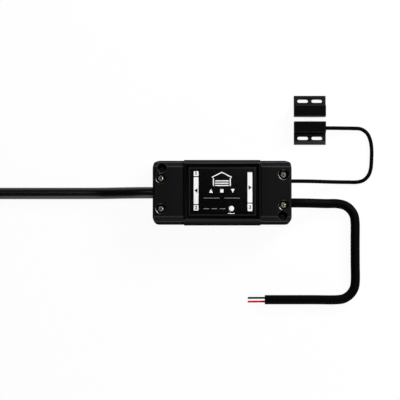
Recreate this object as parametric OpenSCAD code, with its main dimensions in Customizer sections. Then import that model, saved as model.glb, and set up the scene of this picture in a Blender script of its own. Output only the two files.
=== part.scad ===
// Garage door controller: an in-line relay case with a mains lead, a trigger cable and a wired door contact.
// Millimetres. The origin is midway between the two wall-mount holes, on the plane that the case lies on.
// +X points to the sensor end of the case, +Z away from the wall.

/* [Case] */
// Length of the raised centre section
centre_l = 50; // [47:0.5:56]
// Length of each terminal bay, which an end cover closes
bay_l = 20.5; // [19.5:0.5:28]
// Width over the end covers at the split line
cover_w = 42; // [41:0.5:50]
// How far the centre section stands out past the end covers on each side
centre_proud = 0.5; // [0.2:0.1:1.5]
// How far the centre section stands above the end covers
centre_rise = 1.2; // [0.6:0.1:2]
// Height of the split line between the base and the covers
split_h = 11; // [10.5:0.1:12]
// Thickness of the side and end walls
wall = 2; // [1.6:0.1:2.4]
// Thickness of the base's floor
floor_t = 2; // [1.6:0.1:3]
// Thickness of the covers' roofs
roof_t = 2; // [1.6:0.1:2.6]
// Radius of the case's corners, seen from above
corner_r = 5.4; // [3:0.1:6]
// How far each side wall leans in from the split line down to the floor
base_lean = 0.8; // [0.2:0.1:1.2]
// How far each side wall leans in from the split line up to its bevel
cover_lean = 1.5; // [0.6:0.1:2]
// How far each end wall leans in from the split line up to the roof
end_lean = 1; // [0.4:0.1:1.4]
// Width of the bevel along an end cover's long edges
bevel_w = 3.3; // [2:0.1:4.5]
// Height of that bevel
bevel_h = 3.4; // [2:0.1:4.5]
// Chamfer along the base's lower edges
base_edge = 0.6; // [0.3:0.1:1]
// Gap at the seams between the centre cover and the end covers
seam = 0.15; // [0.1:0.05:0.3]
// Clearance between pieces that slide together
fit = 0.2; // [0.1:0.05:0.3]

/* [Centre cover] */
// Width of the bevel along the centre section's long edges
rim_bevel_w = 1.5; // [0.8:0.1:2.4]
// Height of that bevel
rim_bevel_h = 2.6; // [1.6:0.1:3.2]
// Flat rim between that bevel and the label recess
rim_side = 0.6; // [0.4:0.1:1.2]
// Flat rim between the label recess and each end of the centre section
rim_end = 1; // [0.8:0.1:1.6]
// Chamfer where the centre section steps down to the end covers
step_chamfer = 0.6; // [0.3:0.1:0.7]
// Depth of the label recess
recess_depth = 1.6; // [1:0.1:2]
// How far the recess walls slope in
recess_slope = 1.8; // [1:0.1:2.4]
// Thickness of the dividing walls at the ends of the centre cover
end_wall = 1.6; // [1.2:0.1:2]
// Gap between a dividing wall and the circuit board below it
divider_gap = 0.5; // [0.3:0.1:1]
// Width of each snap hook
hook_w = 6; // [4:0.5:9]
// Thickness of each snap hook
hook_t = 1; // [0.8:0.1:1.4]
// Length of each snap hook below the split line
hook_drop = 4.5; // [4:0.1:5]
// How far a hook's barb stands out
hook_barb = 0.9; // [0.6:0.1:1]
// Distance of the snap hooks from the middle of the case
hook_x = 12; // [9:0.5:15]
// Thickness of the label panel
label_t = 0.4; // [0.2:0.1:0.8]
// Corner radius of the label panel
label_r = 0.6; // [0.3:0.1:1.5]

/* [Button] */
// Diameter of the pairing button
button_d = 3.5; // [2.5:0.1:4]
// Place of the button along X
button_x = 5.8; // [5:0.1:7]
// Place of the button along Y
button_y = -11.2; // [-11.6:0.1:-10.8]
// How far the button stands out of the label
button_proud = 0.8; // [0.5:0.1:1.1]
// Travel of the button
button_travel = 0.5; // [0.3:0.05:0.6]
// Diameter of the collar that holds the button in
button_collar_d = 5.2; // [4.8:0.1:5.6]
// Thickness of that collar
button_collar_t = 0.8; // [0.6:0.1:1.2]
// Diameter of the button's stem
button_stem_d = 2.2; // [1.6:0.1:2.6]
// Width of the square tact switch
switch_w = 6; // [5:0.1:6.2]
// Height of the tact switch body
switch_h = 3.4; // [3:0.1:4.5]
// Diameter of the switch plunger
plunger_d = 3.4; // [2.4:0.1:3.6]
// How far the plunger stands out of the switch body
plunger_proud = 1.6; // [1:0.1:3]
// Depth of the plunger inside the switch body
plunger_depth = 1; // [0.6:0.1:1.4]

/* [Screws and mounting] */
// Distance of the cover screws from the end of the case
screw_inset = 5.6; // [5.2:0.1:6.5]
// Place across the case of a cover's screw that is nearer to its wall-mount hole
screw_near_y = 8.7; // [8.5:0.1:9]
// Place across the case of a cover's other screw, on the other side
screw_far_y = 11.1; // [10.6:0.1:12]
// Diameter of the screw's shank
screw_d = 2.5; // [2.2:0.1:2.6]
// Diameter of the screw's head
screw_head_d = 4; // [3.6:0.1:4.6]
// Height of the screw's head
screw_head_h = 1.5; // [1.2:0.1:2]
// Length of the screw below its head
screw_l = 15; // [13:0.5:17]
// Width of the cross recess in the screw's head
screw_cross_w = 0.7; // [0.5:0.1:0.9]
// Depth of that recess
screw_cross_h = 0.8; // [0.4:0.1:1]
// Diameter of the counterbore over each screw head
counterbore_d = 5.6; // [5.2:0.1:5.8]
// Depth of that counterbore
counterbore_h = 3.6; // [2.6:0.1:4]
// Width of the slope around the counterbore's mouth
mouth_w = 0.75; // [0.4:0.05:0.8]
// Depth of that slope
mouth_h = 0.42; // [0.2:0.02:0.6]
// Diameter of the pillars that the screws run in
pillar_d = 4.6; // [4.4:0.1:5]
// Thickness of material under and around the counterbore
pillar_wall = 1; // [0.8:0.1:1.6]
// Diameter of the wall-mount holes in the base
mount_hole_d = 3.6; // [3:0.1:4.2]
// Diameter of the way through the end cover to each wall-mount hole
mount_access_d = 6; // [5.4:0.1:6.2]
// Distance of the wall-mount holes from the ends of the case
mount_inset_x = 6.2; // [6:0.1:7]
// Distance of the wall-mount holes from the sides of the end covers
mount_inset_y = 5.4; // [5:0.1:5.6]
// Thickness of the sleeve around each wall-mount hole
mount_sleeve_t = 1; // [0.8:0.1:1.2]
// Width of the tongue that holds an end cover's inner edge
tongue_w = 18; // [10:1:24]
// Thickness of that tongue
tongue_t = 1.4; // [1:0.1:1.6]

/* [Circuit] */
// Thickness of the circuit board
board_t = 1.6; // [1:0.1:2]
// Height of the posts under the board
post_h = 3.4; // [3:0.1:4.2]
// Diameter of those posts
post_d = 4.8; // [4.2:0.1:5.2]
// Gap between the board and the snap hooks
board_gap = 0.4; // [0.3:0.1:0.8]
// Diameter of the board screws
board_screw_d = 2; // [1.8:0.1:2.4]
// Diameter of the board screws' heads
board_screw_head_d = 3.8; // [3.4:0.1:4.4]
// Height of the board screws' heads
board_screw_head_h = 1.2; // [1:0.1:1.8]
// Air over the tallest piece on the board
room_air = 1.2; // [0.8:0.1:3]
// Length of the relay
relay_l = 17.8; // [15:0.1:18.4]
// Width of the relay
relay_w = 10.2; // [8:0.1:10.6]
// Height of the relay
relay_h = 13.2; // [12.8:0.1:16]
// Length of the radio module's board
radio_l = 16; // [14:0.5:18]
// Width of the radio module's board
radio_w = 11; // [9:0.1:11.4]
// Thickness of the radio module's board
radio_t = 1; // [0.8:0.1:1.6]
// Length of the radio module's shield can
shield_l = 10; // [8:0.5:12]
// Width of the shield can
shield_w = 9; // [6:0.1:10]
// Height of the shield can
shield_h = 2.2; // [1.5:0.1:3]
// Length of the transformer core
core_l = 13; // [11:0.1:13.6]
// Thickness of the transformer core
core_w = 6; // [5:0.1:7]
// Height of the transformer core
core_h = 12; // [10:0.1:12.8]
// Width of the core's centre leg
core_leg = 3; // [2:0.1:3.4]
// Thickness of the core's outer legs and yokes
core_frame = 2; // [1.5:0.1:2.4]
// How far the winding stands out in front of and behind the core
winding_proud = 2.6; // [1.6:0.1:3]
// Diameter of the input capacitor
input_cap_d = 8; // [6:0.1:8.4]
// Height of the input capacitor
input_cap_h = 12; // [9:0.1:13]
// Diameter of the output capacitor
output_cap_d = 6.3; // [5:0.1:7]
// Height of the output capacitor
output_cap_h = 11; // [8:0.1:13]
// Diameter of the fuse
fuse_d = 8.4; // [6:0.1:8.8]
// Height of the fuse
fuse_h = 7.6; // [6:0.1:9]
// Depth of the terminal blocks along the case
terminal_l = 7; // [6:0.1:7.6]
// Height of the terminal blocks
terminal_h = 8.6; // [8.2:0.1:10]
// Distance between the two poles of the mains terminal block
mains_pitch = 5; // [4:0.1:5.4]
// Distance between the two poles of the sensor and trigger terminal blocks
signal_pitch = 3.8; // [3.4:0.1:4]
// Diameter of the terminal screws
terminal_screw_d = 2.6; // [2:0.1:2.8]
// Gap between a dividing wall and the terminal block behind it
terminal_gap = 1.9; // [1.2:0.1:2.5]

/* [Cables] */
// Diameter of the mains lead
lead_d = 7.6; // [6:0.1:7.8]
// Diameter of the sensor lead
sensor_d = 2.5; // [2:0.1:2.8]
// Diameter of the trigger cable
trigger_d = 6.1; // [5:0.1:6.4]
// Diameter of the wires inside the mains lead
mains_wire_d = 2.2; // [1.6:0.1:2.4]
// Diameter of the wires inside the trigger cable
trigger_wire_d = 1.3; // [1:0.1:1.4]
// Diameter of the wires inside the sensor lead
sensor_wire_d = 0.9; // [0.7:0.1:1]
// Clearance around a cable where it passes a wall
cable_fit = 0.2; // [0.1:0.05:0.3]
// Place of the sensor lead across the case
sensor_y = 7.6; // [7.2:0.1:8]
// Place of the trigger cable across the case
trigger_y = -6.7; // [-7:0.1:-6.4]
// Thickness of the rib that grips the mains lead
grip_rib_t = 1.5; // [1:0.1:2]
// Gap between one turn of the coil and the next
coil_gap = 0.5; // [0.45:0.05:1]
// Radius of the coil's tightest turn
coil_min_r = 30.4; // [30.4:0.2:36]
// Width of the tie on the coil
tie_w = 8; // [5:0.5:10]
// Thickness of the tie
tie_t = 0.8; // [0.5:0.1:1.2]
// Clearance between the tie and the coil
tie_gap = 0.3; // [0.2:0.05:0.6]

/* [Plug] */
// Length of the plug body behind its face
plug_l = 26; // [22:0.5:32]
// Width of the plug body
plug_w = 24; // [21:0.5:28]
// Thickness of the plug body
plug_t = 18; // [15:0.5:20]
// Corner radius of the plug body
plug_r = 4; // [2:0.5:6]
// Length of the shoulders that narrow to the strain relief
plug_shoulder = 9; // [6:0.5:12]
// Length of the strain relief
relief_l = 28; // [20:1:40]
// Diameter of the strain relief at the plug
relief_d = 12.4; // [11:0.2:13]
// Thickness of the strain relief around the lead at its thin end
relief_lip = 0.9; // [0.6:0.1:1.5]
// Number of grooves in the strain relief
relief_grooves = 5; // [3:1:7]
// Width of each groove
groove_w = 1.6; // [1:0.1:2]
// Depth of each groove
groove_h = 0.7; // [0.4:0.1:0.8]
// Length of the blades in front of the plug
blade_l = 16; // [14:0.5:18]
// Width of each blade
blade_w = 6.35; // [6:0.05:6.6]
// Thickness of each blade
blade_t = 1.5; // [1.4:0.05:1.6]
// Distance between the middles of the blades
blade_pitch = 12.7; // [12:0.1:13]
// Diameter of the hole in each blade
blade_hole_d = 3.1; // [2.5:0.1:3.4]
// Distance of that hole from the blade's tip
blade_hole_inset = 4.2; // [3.6:0.1:5]
// Depth of the blades inside the plug
blade_root = 8; // [5:0.5:12]

/* [Door contact] */
// Length of both halves of the door contact
contact_l = 21; // [21:0.5:30]
// Height of both halves
contact_h = 8; // [7.4:0.1:10]
// Width of the reed half's block
reed_block_w = 7.4; // [7.2:0.1:9]
// Width of the reed half's flange
reed_flange_w = 7.6; // [7.2:0.1:10]
// Width of the magnet half's block
magnet_block_w = 7.4; // [7.2:0.1:9]
// Width of the magnet half's flange
magnet_flange_w = 6.5; // [5.6:0.1:8]
// Thickness of the flanges
flange_t = 2.6; // [2:0.1:3.4]
// Width of the slope along the reed flange's edge
flange_slope_w = 2.1; // [1:0.1:2.2]
// Height of that slope
flange_slope_h = 1.4; // [0.6:0.1:1.6]
// Length of each slot, end to end
slot_l = 7.1; // [5:0.1:7.6]
// Width of each slot
slot_w = 2.2; // [1.8:0.1:2.8]
// Distance between the slots' middles
slot_pitch = 9.3; // [8.6:0.1:10]
// Distance of the slots from the reed half's block
reed_slot_inset = 3.4; // [3:0.1:4]
// Distance of the slots from the magnet half's block
magnet_slot_inset = 3; // [2.4:0.1:3.4]
// Gap between the two halves when the door is shut
contact_gap = 3.4; // [1:0.1:4]
// Chamfer along the upper edges of both halves
contact_chamfer = 0.4; // [0.2:0.1:0.8]
// Thickness of the contact's end walls
contact_wall = 1.5; // [1.2:0.1:2]
// Thickness of the fill that closes each half from below
fill_t = 1.4; // [1:0.1:2]
// Diameter of the reed capsule
reed_d = 2.4; // [1.8:0.1:2.8]
// Length of the reed capsule
reed_l = 12; // [10:0.5:14]
// Diameter of the capsule's leads
reed_pin_d = 0.6; // [0.4:0.1:0.8]
// Length of each of the capsule's leads
reed_pin_l = 2; // [1:0.1:2.4]
// Length of the magnet
magnet_l = 16; // [12:0.5:17.6]
// Width and height of the magnet
magnet_w = 4; // [3:0.1:4.2]

/* [Hidden] */
$fn = 48;

// A small overlap that lets a cut run clear of the face it starts from.
over = 0.5;

// Case outline.
half_c = centre_l / 2;
half_l = half_c + bay_l;
case_l = 2 * half_l;
base_half = cover_w / 2 - base_lean;
cover_half = cover_w / 2;
edge_half = cover_half - cover_lean;
flat_half = edge_half - bevel_w;

// Heights, built up from the floor.
board_z = floor_t + post_h;
board_top = board_z + board_t;
ceiling_z = board_top + max(relay_h, core_h, input_cap_h, output_cap_h) + room_air;
label_z = ceiling_z + roof_t;
total_h = label_z + recess_depth;
cover_h = total_h - centre_rise;
edge_z = cover_h - bevel_h;
cover_ceiling_z = cover_h - roof_t;

// Centre section and label.
rim_edge_half = cover_half + centre_proud - cover_lean;
rim_half = rim_edge_half - rim_bevel_w;
recess_l = centre_l - 2 * rim_end;
recess_w = 2 * (rim_half - rim_side);
label_l = recess_l - 2 * recess_slope;
label_w = recess_w - 2 * recess_slope;
label_fit = 0.1;

// Inside of the case.
inner_base_half = base_half - wall;
inner_split_half = cover_half - wall;
hook_bottom = split_h - hook_drop;
barb_h = 2;
barb_top = hook_bottom + barb_h;
board_half_w = inner_base_half - hook_t - board_gap;
terminal_x = half_c + terminal_gap;
board_rim = 0.6;
board_half_l = terminal_x + terminal_l + board_rim;
post_inset_x = 3.2;
post_inset_y = 2.8;
post_x = board_half_l - post_inset_x;
post_y = board_half_w - post_inset_y;

// Screws and wall-mount holes of the right-hand end; the left-hand end is the same turned by half a turn.
screw_x = half_l - screw_inset;
screw_places = [[screw_x, screw_far_y], [screw_x, -screw_near_y]];
mount_place = [half_l - mount_inset_x, -(cover_half - mount_inset_y)];
seat_z = cover_h - counterbore_h;
thread_fit = 0.05;
tongue_l = end_wall - fit;

// Button, from its cap down to the switch.
button_top = label_z + label_t + button_proud;
collar_gap = 0.1;
collar_top = ceiling_z - collar_gap;
switch_top = board_top + switch_h;
plunger_top = switch_top + plunger_proud;
cap_chamfer = 0.3;

// Places of the pieces on the board.
// Each keeps its gap to the dividing wall, the board's edge or the piece beside it.
bay_inner = half_c - end_wall;
radio_wall_gap = 2.4;
radio_edge_gap = 0.4;
radio_place = [bay_inner - radio_wall_gap - radio_l / 2, board_half_w - radio_edge_gap - radio_w / 2];
// The relay stands midway between the radio module and the tact switch.
relay_wall_gap = 1.2;
relay_room = [button_y + switch_w / 2, radio_place[1] - radio_w / 2];
relay_place = [bay_inner - relay_wall_gap - relay_l / 2, (relay_room[0] + relay_room[1]) / 2];
// The fuse and the input capacitor stand along the mains end's dividing wall, at opposite edges of the board.
fuse_wall_gap = 0.6;
fuse_edge_gap = 1;
fuse_place = [-(bay_inner - fuse_wall_gap - fuse_d / 2), board_half_w - fuse_edge_gap - fuse_d / 2];
input_cap_wall_gap = 0.8;
input_cap_edge_gap = 4.6;
input_cap_place = [
    -(bay_inner - input_cap_wall_gap - input_cap_d / 2),
    -(board_half_w - input_cap_edge_gap - input_cap_d / 2)];
// The transformer stands beside them, with the output capacitor between it and the board's edge.
transformer_gap = 0.3;
transformer_x = input_cap_place[0] + input_cap_d / 2 + transformer_gap + core_l / 2;
output_cap_edge_gap = 3.4;
output_cap_gap = 4.2;
output_cap_place = [transformer_x, -(board_half_w - output_cap_edge_gap - output_cap_d / 2)];
transformer_place = [
    transformer_x,
    output_cap_place[1] + output_cap_d / 2 + output_cap_gap + winding_proud + core_w / 2];
winding_fit = 0.1;

// Terminal blocks and their wires.
terminal_margin = 2;
mains_terminal_w = mains_pitch + mains_wire_d + 2 * terminal_margin;
signal_terminal_w = signal_pitch + trigger_wire_d + 2 * terminal_margin;
sensor_terminal_y = 6.6;
trigger_terminal_y = -5.2;
entry_h = 3.4;
entry_z = board_top + entry_h;
entry_depth = 3;
wire_fit = 0.2;
terminal_face = terminal_x + terminal_l;
terminal_screw_sink = 0.4;
screw_foot_z = entry_z + mains_wire_d / 2 + 2 * wire_fit;
wire_end = terminal_face - entry_depth + wire_fit;

// Cables leave the case on the split line.
cable_z = 11;
lead_r = lead_d / 2;
sheath_end = 42.8;
lead_sheath_end = -38;
grip_rib_inset = 2.2;
grip_rib_x = -(half_l - wall - grip_rib_inset);

// Routes of the cables, from inside the case outwards, as they sag to the floor and lie on it.
mains_route = [[-38, 0, 11], [-50, 0, 11], [-56, 0, 10.5], [-62, 0, 9.2], [-68, 0, 7.5], [-74, 0, 5.7],
    [-80, 0, 4.4], [-86, 0, 3.9], [-100, 0, 3.8], [-120, 0, 3.8], [-140, 0, 3.8], [-160, 0, 3.8],
    [-172, 0, 4], [-184, 0, 4.6], [-192, 0, 4.9], [-200, 0, 4.9]];
sensor_route = [[42.8, 7.6, 11], [48, 7.6, 11], [54, 7.6, 10.6], [60, 7.6, 9], [66, 7.6, 6.4], [72, 7.6, 3.8],
    [78, 7.6, 2], [83, 7.6, 1.3], [88.6, 7.6, 1.3], [93.1, 8.8, 1.3], [96.4, 12, 1.3], [98, 16.5, 1.3],
    [98.5, 22.5, 1.3], [98.6, 29.4, 1.3], [97.8, 35.1, 1.3], [95.6, 39.9, 1.3], [91.5, 42.7, 1.4],
    [86, 43.1, 1.8], [80, 43.1, 2.8], [74, 43.1, 3.8], [70, 43.1, 4], [66.85, 43.1, 4]];
trigger_route = [[42.8, -6.7, 11], [49, -6.7, 11], [54, -6.7, 10.3], [59, -6.7, 8.5], [64, -6.7, 6.1],
    [69, -6.7, 4.1], [75.7, -6.7, 3.1], [81.6, -8.3, 3.1], [85.8, -12.5, 3.1], [87.4, -18.4, 3.1],
    [87.4, -32, 3.1], [87.4, -45, 3.1], [87.4, -58.2, 3.1], [85.8, -64, 3.1], [81.6, -68.2, 3.1],
    [75.7, -69.8, 3.1], [60, -69.8, 3.1], [44, -69.8, 3.1], [28, -69.8, 3.1]];
black_wire_route = [[28, -68.6, 3.1], [26, -68.6, 3.1], [24, -68.6, 2.8], [21.5, -68.6, 1.9], [19, -68.6, 1],
    [17, -68.6, 0.7]];
red_wire_route = [[28, -71, 3.1], [26, -71, 3.1], [24, -71, 2.8], [21.5, -71, 1.9], [19, -71, 1],
    [17, -71, 0.7]];

// The coil of the mains lead: it spirals in on the floor, climbs a layer, and spirals out again on top.
coil_pitch = lead_d + coil_gap;
coil_z = tie_t + tie_gap + lead_r;
coil_turns_in = 2.5;
coil_turns = 2 * coil_turns_in;
coil_climb = 0.5;
coil_rings = 24;
coil_outer_r = coil_min_r + coil_pitch * coil_turns_in;
coil_x = -200 - lead_d;
coil_y = -coil_outer_r;

// The plug lies beside the coil, where the lead bends round to it from the coil's top layer.
plug_gap = 2;
plug_z = plug_t / 2;
plug_face = relief_l + plug_l;
exit_r = 36;
exit_rings = 10;
exit_fall = coil_z + coil_pitch - plug_z;
plug_place = [coil_x - coil_outer_r - lead_r - plug_gap - plug_w / 2, -exit_r - lead_d, plug_z];

// Door contact: the reed half lies nearer to the case, the magnet half beyond it.
contact_x = 57.85;
reed_block_y = 39.9;
magnet_block_y = reed_block_y + reed_block_w + contact_gap;
reed_lead_y = 43.1;
reed_lead_z = 4;
pocket_w = reed_block_w - 2 * contact_wall;
magnet_pocket_w = magnet_block_w - 2 * contact_wall;
pocket_l = contact_l - 2 * contact_wall;
pocket_h = contact_h - contact_wall;

// One corner ring of a tube at each point of its route, square to the way the route runs there.
function unit(v) = v / norm(v);
function heading(route, i) =
    i == 0 ? unit(route[1] - route[0]) :
    i == len(route) - 1 ? unit(route[i] - route[i - 1]) :
    unit(unit(route[i + 1] - route[i]) + unit(route[i] - route[i - 1]));
function tube_ring(route, i, r, sides) =
    let (ahead = heading(route, i), side = unit(cross(ahead, [0, 0, 1])), up = cross(side, ahead))
    [for (k = [0:sides - 1])
        let (a = 360 * (k + 0.5) / sides)
        route[i] + r * cos(a) * side + r * sin(a) * up];

// A round tube along a route, closed at both ends, with triangles for faces.
module tube(route, r, sides) {
    last = len(route) - 1;
    points = [for (i = [0:last]) each tube_ring(route, i, r, sides)];
    walls = [for (i = [0:last - 1], k = [0:sides - 1])
        let (a = i * sides + k, b = i * sides + (k + 1) % sides)
        each [[a, b, b + sides], [a, b + sides, a + sides]]];
    first_cap = [for (k = [1:sides - 2]) [0, k + 1, k]];
    last_cap = [for (k = [1:sides - 2]) [last * sides, last * sides + k, last * sides + k + 1]];
    polyhedron(points = points, faces = concat(walls, first_cap, last_cap));
}

// The coil's centre line at a count of turns, counted from where the lead enters it.
function coil_point(turns) =
    let (
        r = coil_min_r + coil_pitch * abs(turns - coil_turns_in),
        a = 90 + 360 * turns,
        climbed = (turns - coil_turns_in) / coil_climb + 0.5
    )
    [coil_x + r * cos(a), coil_y + r * sin(a), coil_z + coil_pitch * min(max(climbed, 0), 1)];
coil_spiral = [for (i = [0:coil_turns * coil_rings]) coil_point(i / coil_rings)];

// The bend to the plug, in which the lead comes down to the plug's height.
coil_exit = [for (i = [0:exit_rings])
    let (share = i / exit_rings)
    [plug_place[0] + exit_r * (1 - sin(90 * share)), exit_r * (cos(90 * share) - 1),
        plug_z + exit_fall * (1 + cos(180 * share)) / 2]];
coil_route = concat([[coil_x + lead_d, 0, coil_z]], coil_spiral, coil_exit, [plug_place]);

// The least gap between the coil and itself, measured between points half a turn or more apart.
coil_self_gap = min([for (i = [0:len(coil_spiral) - 1])
    for (j = [i + coil_rings / 2:1:len(coil_spiral) - 1])
    norm(coil_spiral[i] - coil_spiral[j]) - lead_d]);
echo("least gap between the coil and itself", coil_self_gap);

// The length along a route.
function route_length(route) =
    norm([for (i = [1:len(route) - 1]) sqrt(norm(route[i] - route[i - 1]))]) ^ 2;
echo("length of the mains lead", route_length(mains_route) + route_length(coil_route));
echo("length of the sensor lead", route_length(sensor_route));
echo("length of the trigger cable", route_length(trigger_route));

// A rectangle about the origin with round corners.
module rounded_rect(length, width, r) {
    square([length - 2 * r, width], center = true);
    square([length, width - 2 * r], center = true);
    for (x = [-1, 1], y = [-1, 1])
        translate([x * (length / 2 - r), y * (width / 2 - r)]) circle(r);
}

// A section drawn in Y and Z, run along X.
module along_x(section, x0, x1) {
    translate([x0, 0, 0]) rotate([90, 0, 90]) linear_extrude(x1 - x0) polygon(section);
}

// A section drawn in X and Z, run along Y about the middle.
module along_y(section, width) {
    translate([0, width / 2, 0]) rotate([90, 0, 0]) linear_extrude(width) polygon(section);
}

// A box about the Z axis, standing on a height.
module standing_box(length, width, z0, z1) {
    translate([-length / 2, -width / 2, z0]) cube([length, width, z1 - z0]);
}

// A cylinder on the Z axis between two heights.
module post(d, z0, z1) {
    translate([0, 0, z0]) cylinder(d = d, h = z1 - z0);
}

// The outer half of a section, mirrored to both sides.
function both_sides(half) =
    concat(half, [for (i = [len(half) - 1:-1:0]) [-half[i][0], half[i][1]]]);

base_section = both_sides([[base_half - base_edge, 0], [base_half, base_edge], [cover_half, split_h]]);
centre_base_section = both_sides([
    [base_half + centre_proud - base_edge, 0],
    [base_half + centre_proud, base_edge],
    [cover_half + centre_proud, split_h]]);
base_cavity = both_sides([
    [inner_base_half, floor_t],
    [inner_split_half, split_h],
    [inner_split_half, split_h + over]]);
cover_section = both_sides([[cover_half, split_h], [edge_half, edge_z], [flat_half, cover_h]]);
cover_cavity = both_sides([
    [inner_split_half, split_h - over],
    [inner_split_half, split_h],
    [edge_half - wall, edge_z - wall / 2],
    [flat_half - wall / 2, cover_ceiling_z]]);
centre_section = both_sides([
    [cover_half + centre_proud, split_h],
    [rim_edge_half, total_h - rim_bevel_h],
    [rim_half, total_h]]);
centre_cavity = both_sides([
    [inner_split_half, split_h - over],
    [inner_split_half, split_h],
    [edge_half - wall, edge_z],
    [flat_half, ceiling_z]]);

// The case seen from its long side, where the end walls lean in both ways from the split line.
base_end_section = both_sides([
    [half_l - base_lean - base_edge, 0],
    [half_l - base_lean, base_edge],
    [half_l, split_h]]);
cover_end_section = both_sides([[half_l, split_h], [half_l - end_lean, cover_h]]);

// The case's outline from above, drawn in by an inset, as a tall prism.
module plan_prism(inset) {
    linear_extrude(total_h) rounded_rect(case_l - 2 * inset, cover_w - 2 * inset, corner_r - inset);
}

// Repeats the right-hand end's features at the left-hand end.
module both_ends() {
    children();
    rotate([0, 0, 180]) children();
}

// The ways of the three cables through the end walls, and the grip rib's way.
module cable_ways() {
    translate([-half_l - over, 0, cable_z]) rotate([0, 90, 0])
        cylinder(d = lead_d + 2 * cable_fit, h = half_l + over + lead_sheath_end);
    for (cable = [[sensor_y, sensor_d], [trigger_y, trigger_d]])
        translate([sheath_end - over, cable[0], cable_z]) rotate([0, 90, 0])
            cylinder(d = cable[1] + 2 * cable_fit, h = half_l - sheath_end + 2 * over);
}

module base_shell() {
    color("#1c1c1e") difference() {
        union() {
            difference() {
                union() {
                    intersection() {
                        along_x(base_section, -half_l, half_l);
                        along_y(base_end_section, cover_w);
                        plan_prism(0);
                    }
                    along_x(centre_base_section, -half_c, half_c);
                }
                intersection() {
                    along_x(base_cavity, -half_l + wall, half_l - wall);
                    plan_prism(wall);
                }
            }
            base_posts();
            grip_rib(floor_t - over, split_h);
        }
        both_ends() {
            for (place = screw_places)
                translate(place) post(screw_d + 2 * thread_fit, floor_t, split_h + over);
            translate(mount_place) post(mount_hole_d, -over, split_h + over);
        }
        for (side = [-1, 1])
            translate([side * post_x, -side * post_y, 0])
                post(board_screw_d + 2 * thread_fit, floor_t, board_z + over);
        hook_pockets();
        cable_ways();
    }
}

// Pillars for the cover screws, tubes for the wall-mount holes and posts for the board, all on the floor.
module base_posts() {
    both_ends() {
        for (place = screw_places)
            translate(place) post(pillar_d, floor_t - over, split_h);
        translate(mount_place) post(mount_access_d + 2 * mount_sleeve_t, floor_t - over, split_h);
    }
    for (x = [-1, 1], y = [-1, 1])
        translate([x * post_x, y * post_y, 0]) post(post_d, floor_t - over, board_z);
}

// A rib across the left-hand bay, from one screw pillar to the other, that grips the mains lead.
module grip_rib(z0, z1) {
    bite = 0.7;
    y0 = -(screw_far_y - pillar_d / 2 + bite);
    y1 = screw_near_y - pillar_d / 2 + bite;
    translate([grip_rib_x, y0, z0]) cube([grip_rib_t, y1 - y0, z1 - z0]);
}

// Pockets in the base's side walls that the snap hooks catch in.
module hook_pockets() {
    pocket_y = inner_base_half + hook_barb + fit;
    for (x = [-1, 1], y = [-1, 1])
        translate([x * hook_x, y * (pocket_y + inner_base_half - over) / 2, 0])
            standing_box(hook_w + 2 * fit, pocket_y - inner_base_half + over, hook_bottom, barb_top + fit);
}

module centre_cover() {
    end_profile = [[-half_c, split_h], [half_c, split_h], [half_c, total_h - step_chamfer],
        [half_c - step_chamfer, total_h], [step_chamfer - half_c, total_h],
        [-half_c, total_h - step_chamfer]];
    color("#202022") difference() {
        union() {
            difference() {
                intersection() {
                    along_x(centre_section, -half_c, half_c);
                    along_y(end_profile, cover_w + 2 * centre_proud);
                }
                along_x(centre_cavity, -bay_inner, bay_inner);
            }
            for (side = [-1, 1])
                translate([side * (half_c - end_wall / 2), 0, 0])
                    standing_box(end_wall, 2 * board_half_w, board_top + divider_gap, split_h + over);
            for (x = [-1, 1], turn = [0, 180])
                rotate([0, 0, turn]) translate([x * hook_x, 0, 0]) snap_hook();
        }
        label_recess();
        translate([button_x, button_y, 0]) post(button_d + 2 * fit, ceiling_z - over, total_h);
        both_ends() translate([half_c, 0, 0])
            standing_box(2 * (end_wall + over), tongue_w + 2 * fit,
                cover_ceiling_z - tongue_t - fit, cover_ceiling_z + fit);
    }
}

// A hook that hangs from the cover's side wall and catches in the base.
module snap_hook() {
    root_h = 3;
    hook_section = [
        [inner_base_half - hook_t, hook_bottom],
        [inner_base_half, hook_bottom],
        [inner_base_half + hook_barb, barb_top - fit],
        [inner_base_half, barb_top],
        [inner_base_half, split_h + fit],
        [inner_split_half + over, split_h + fit],
        [inner_split_half + over, split_h + root_h],
        [inner_base_half - hook_t, split_h + root_h]];
    along_x(hook_section, -hook_w / 2, hook_w / 2);
}

// The sunk place for the label, with walls that slope in to the label's own size.
module label_recess() {
    rise = total_h - label_z;
    slope_over = recess_slope * over / rise;
    intersection() {
        along_x(
            both_sides([[label_w / 2, label_z], [recess_w / 2 + slope_over, total_h + over]]),
            -half_c, half_c);
        along_y(both_sides([[label_l / 2, label_z], [recess_l / 2 + slope_over, total_h + over]]), cover_w);
    }
}

// An end cover without its cable ways, in its right-hand place.
module end_cover_shell() {
    difference() {
        union() {
            difference() {
                cover_block();
                intersection() {
                    along_x(cover_cavity, half_c, half_l - wall);
                    plan_prism(wall);
                }
            }
            intersection() {
                cover_block();
                union() {
                    for (place = screw_places) translate(place) {
                        post(pillar_d, split_h, cover_ceiling_z + over);
                        post(counterbore_d + 2 * pillar_wall, seat_z - 2 * pillar_wall,
                            cover_ceiling_z + over);
                    }
                    translate(mount_place) post(mount_access_d + 2 * mount_sleeve_t, split_h, cover_h);
                }
            }
            cover_tongue();
        }
        for (place = screw_places) translate(place) {
            post(screw_d + 2 * fit, split_h - over, seat_z + over);
            post(counterbore_d, seat_z, cover_h + over);
            counterbore_mouth();
        }
        translate(mount_place) post(mount_access_d, split_h - over, cover_h + over);
    }
}

// The slope around the mouth of a counterbore, carried on a little above the cover.
module counterbore_mouth() {
    reach = mouth_w * (1 + over / mouth_h);
    translate([0, 0, cover_h - mouth_h])
        cylinder(d1 = counterbore_d, d2 = counterbore_d + 2 * reach, h = mouth_h + over);
}

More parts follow.
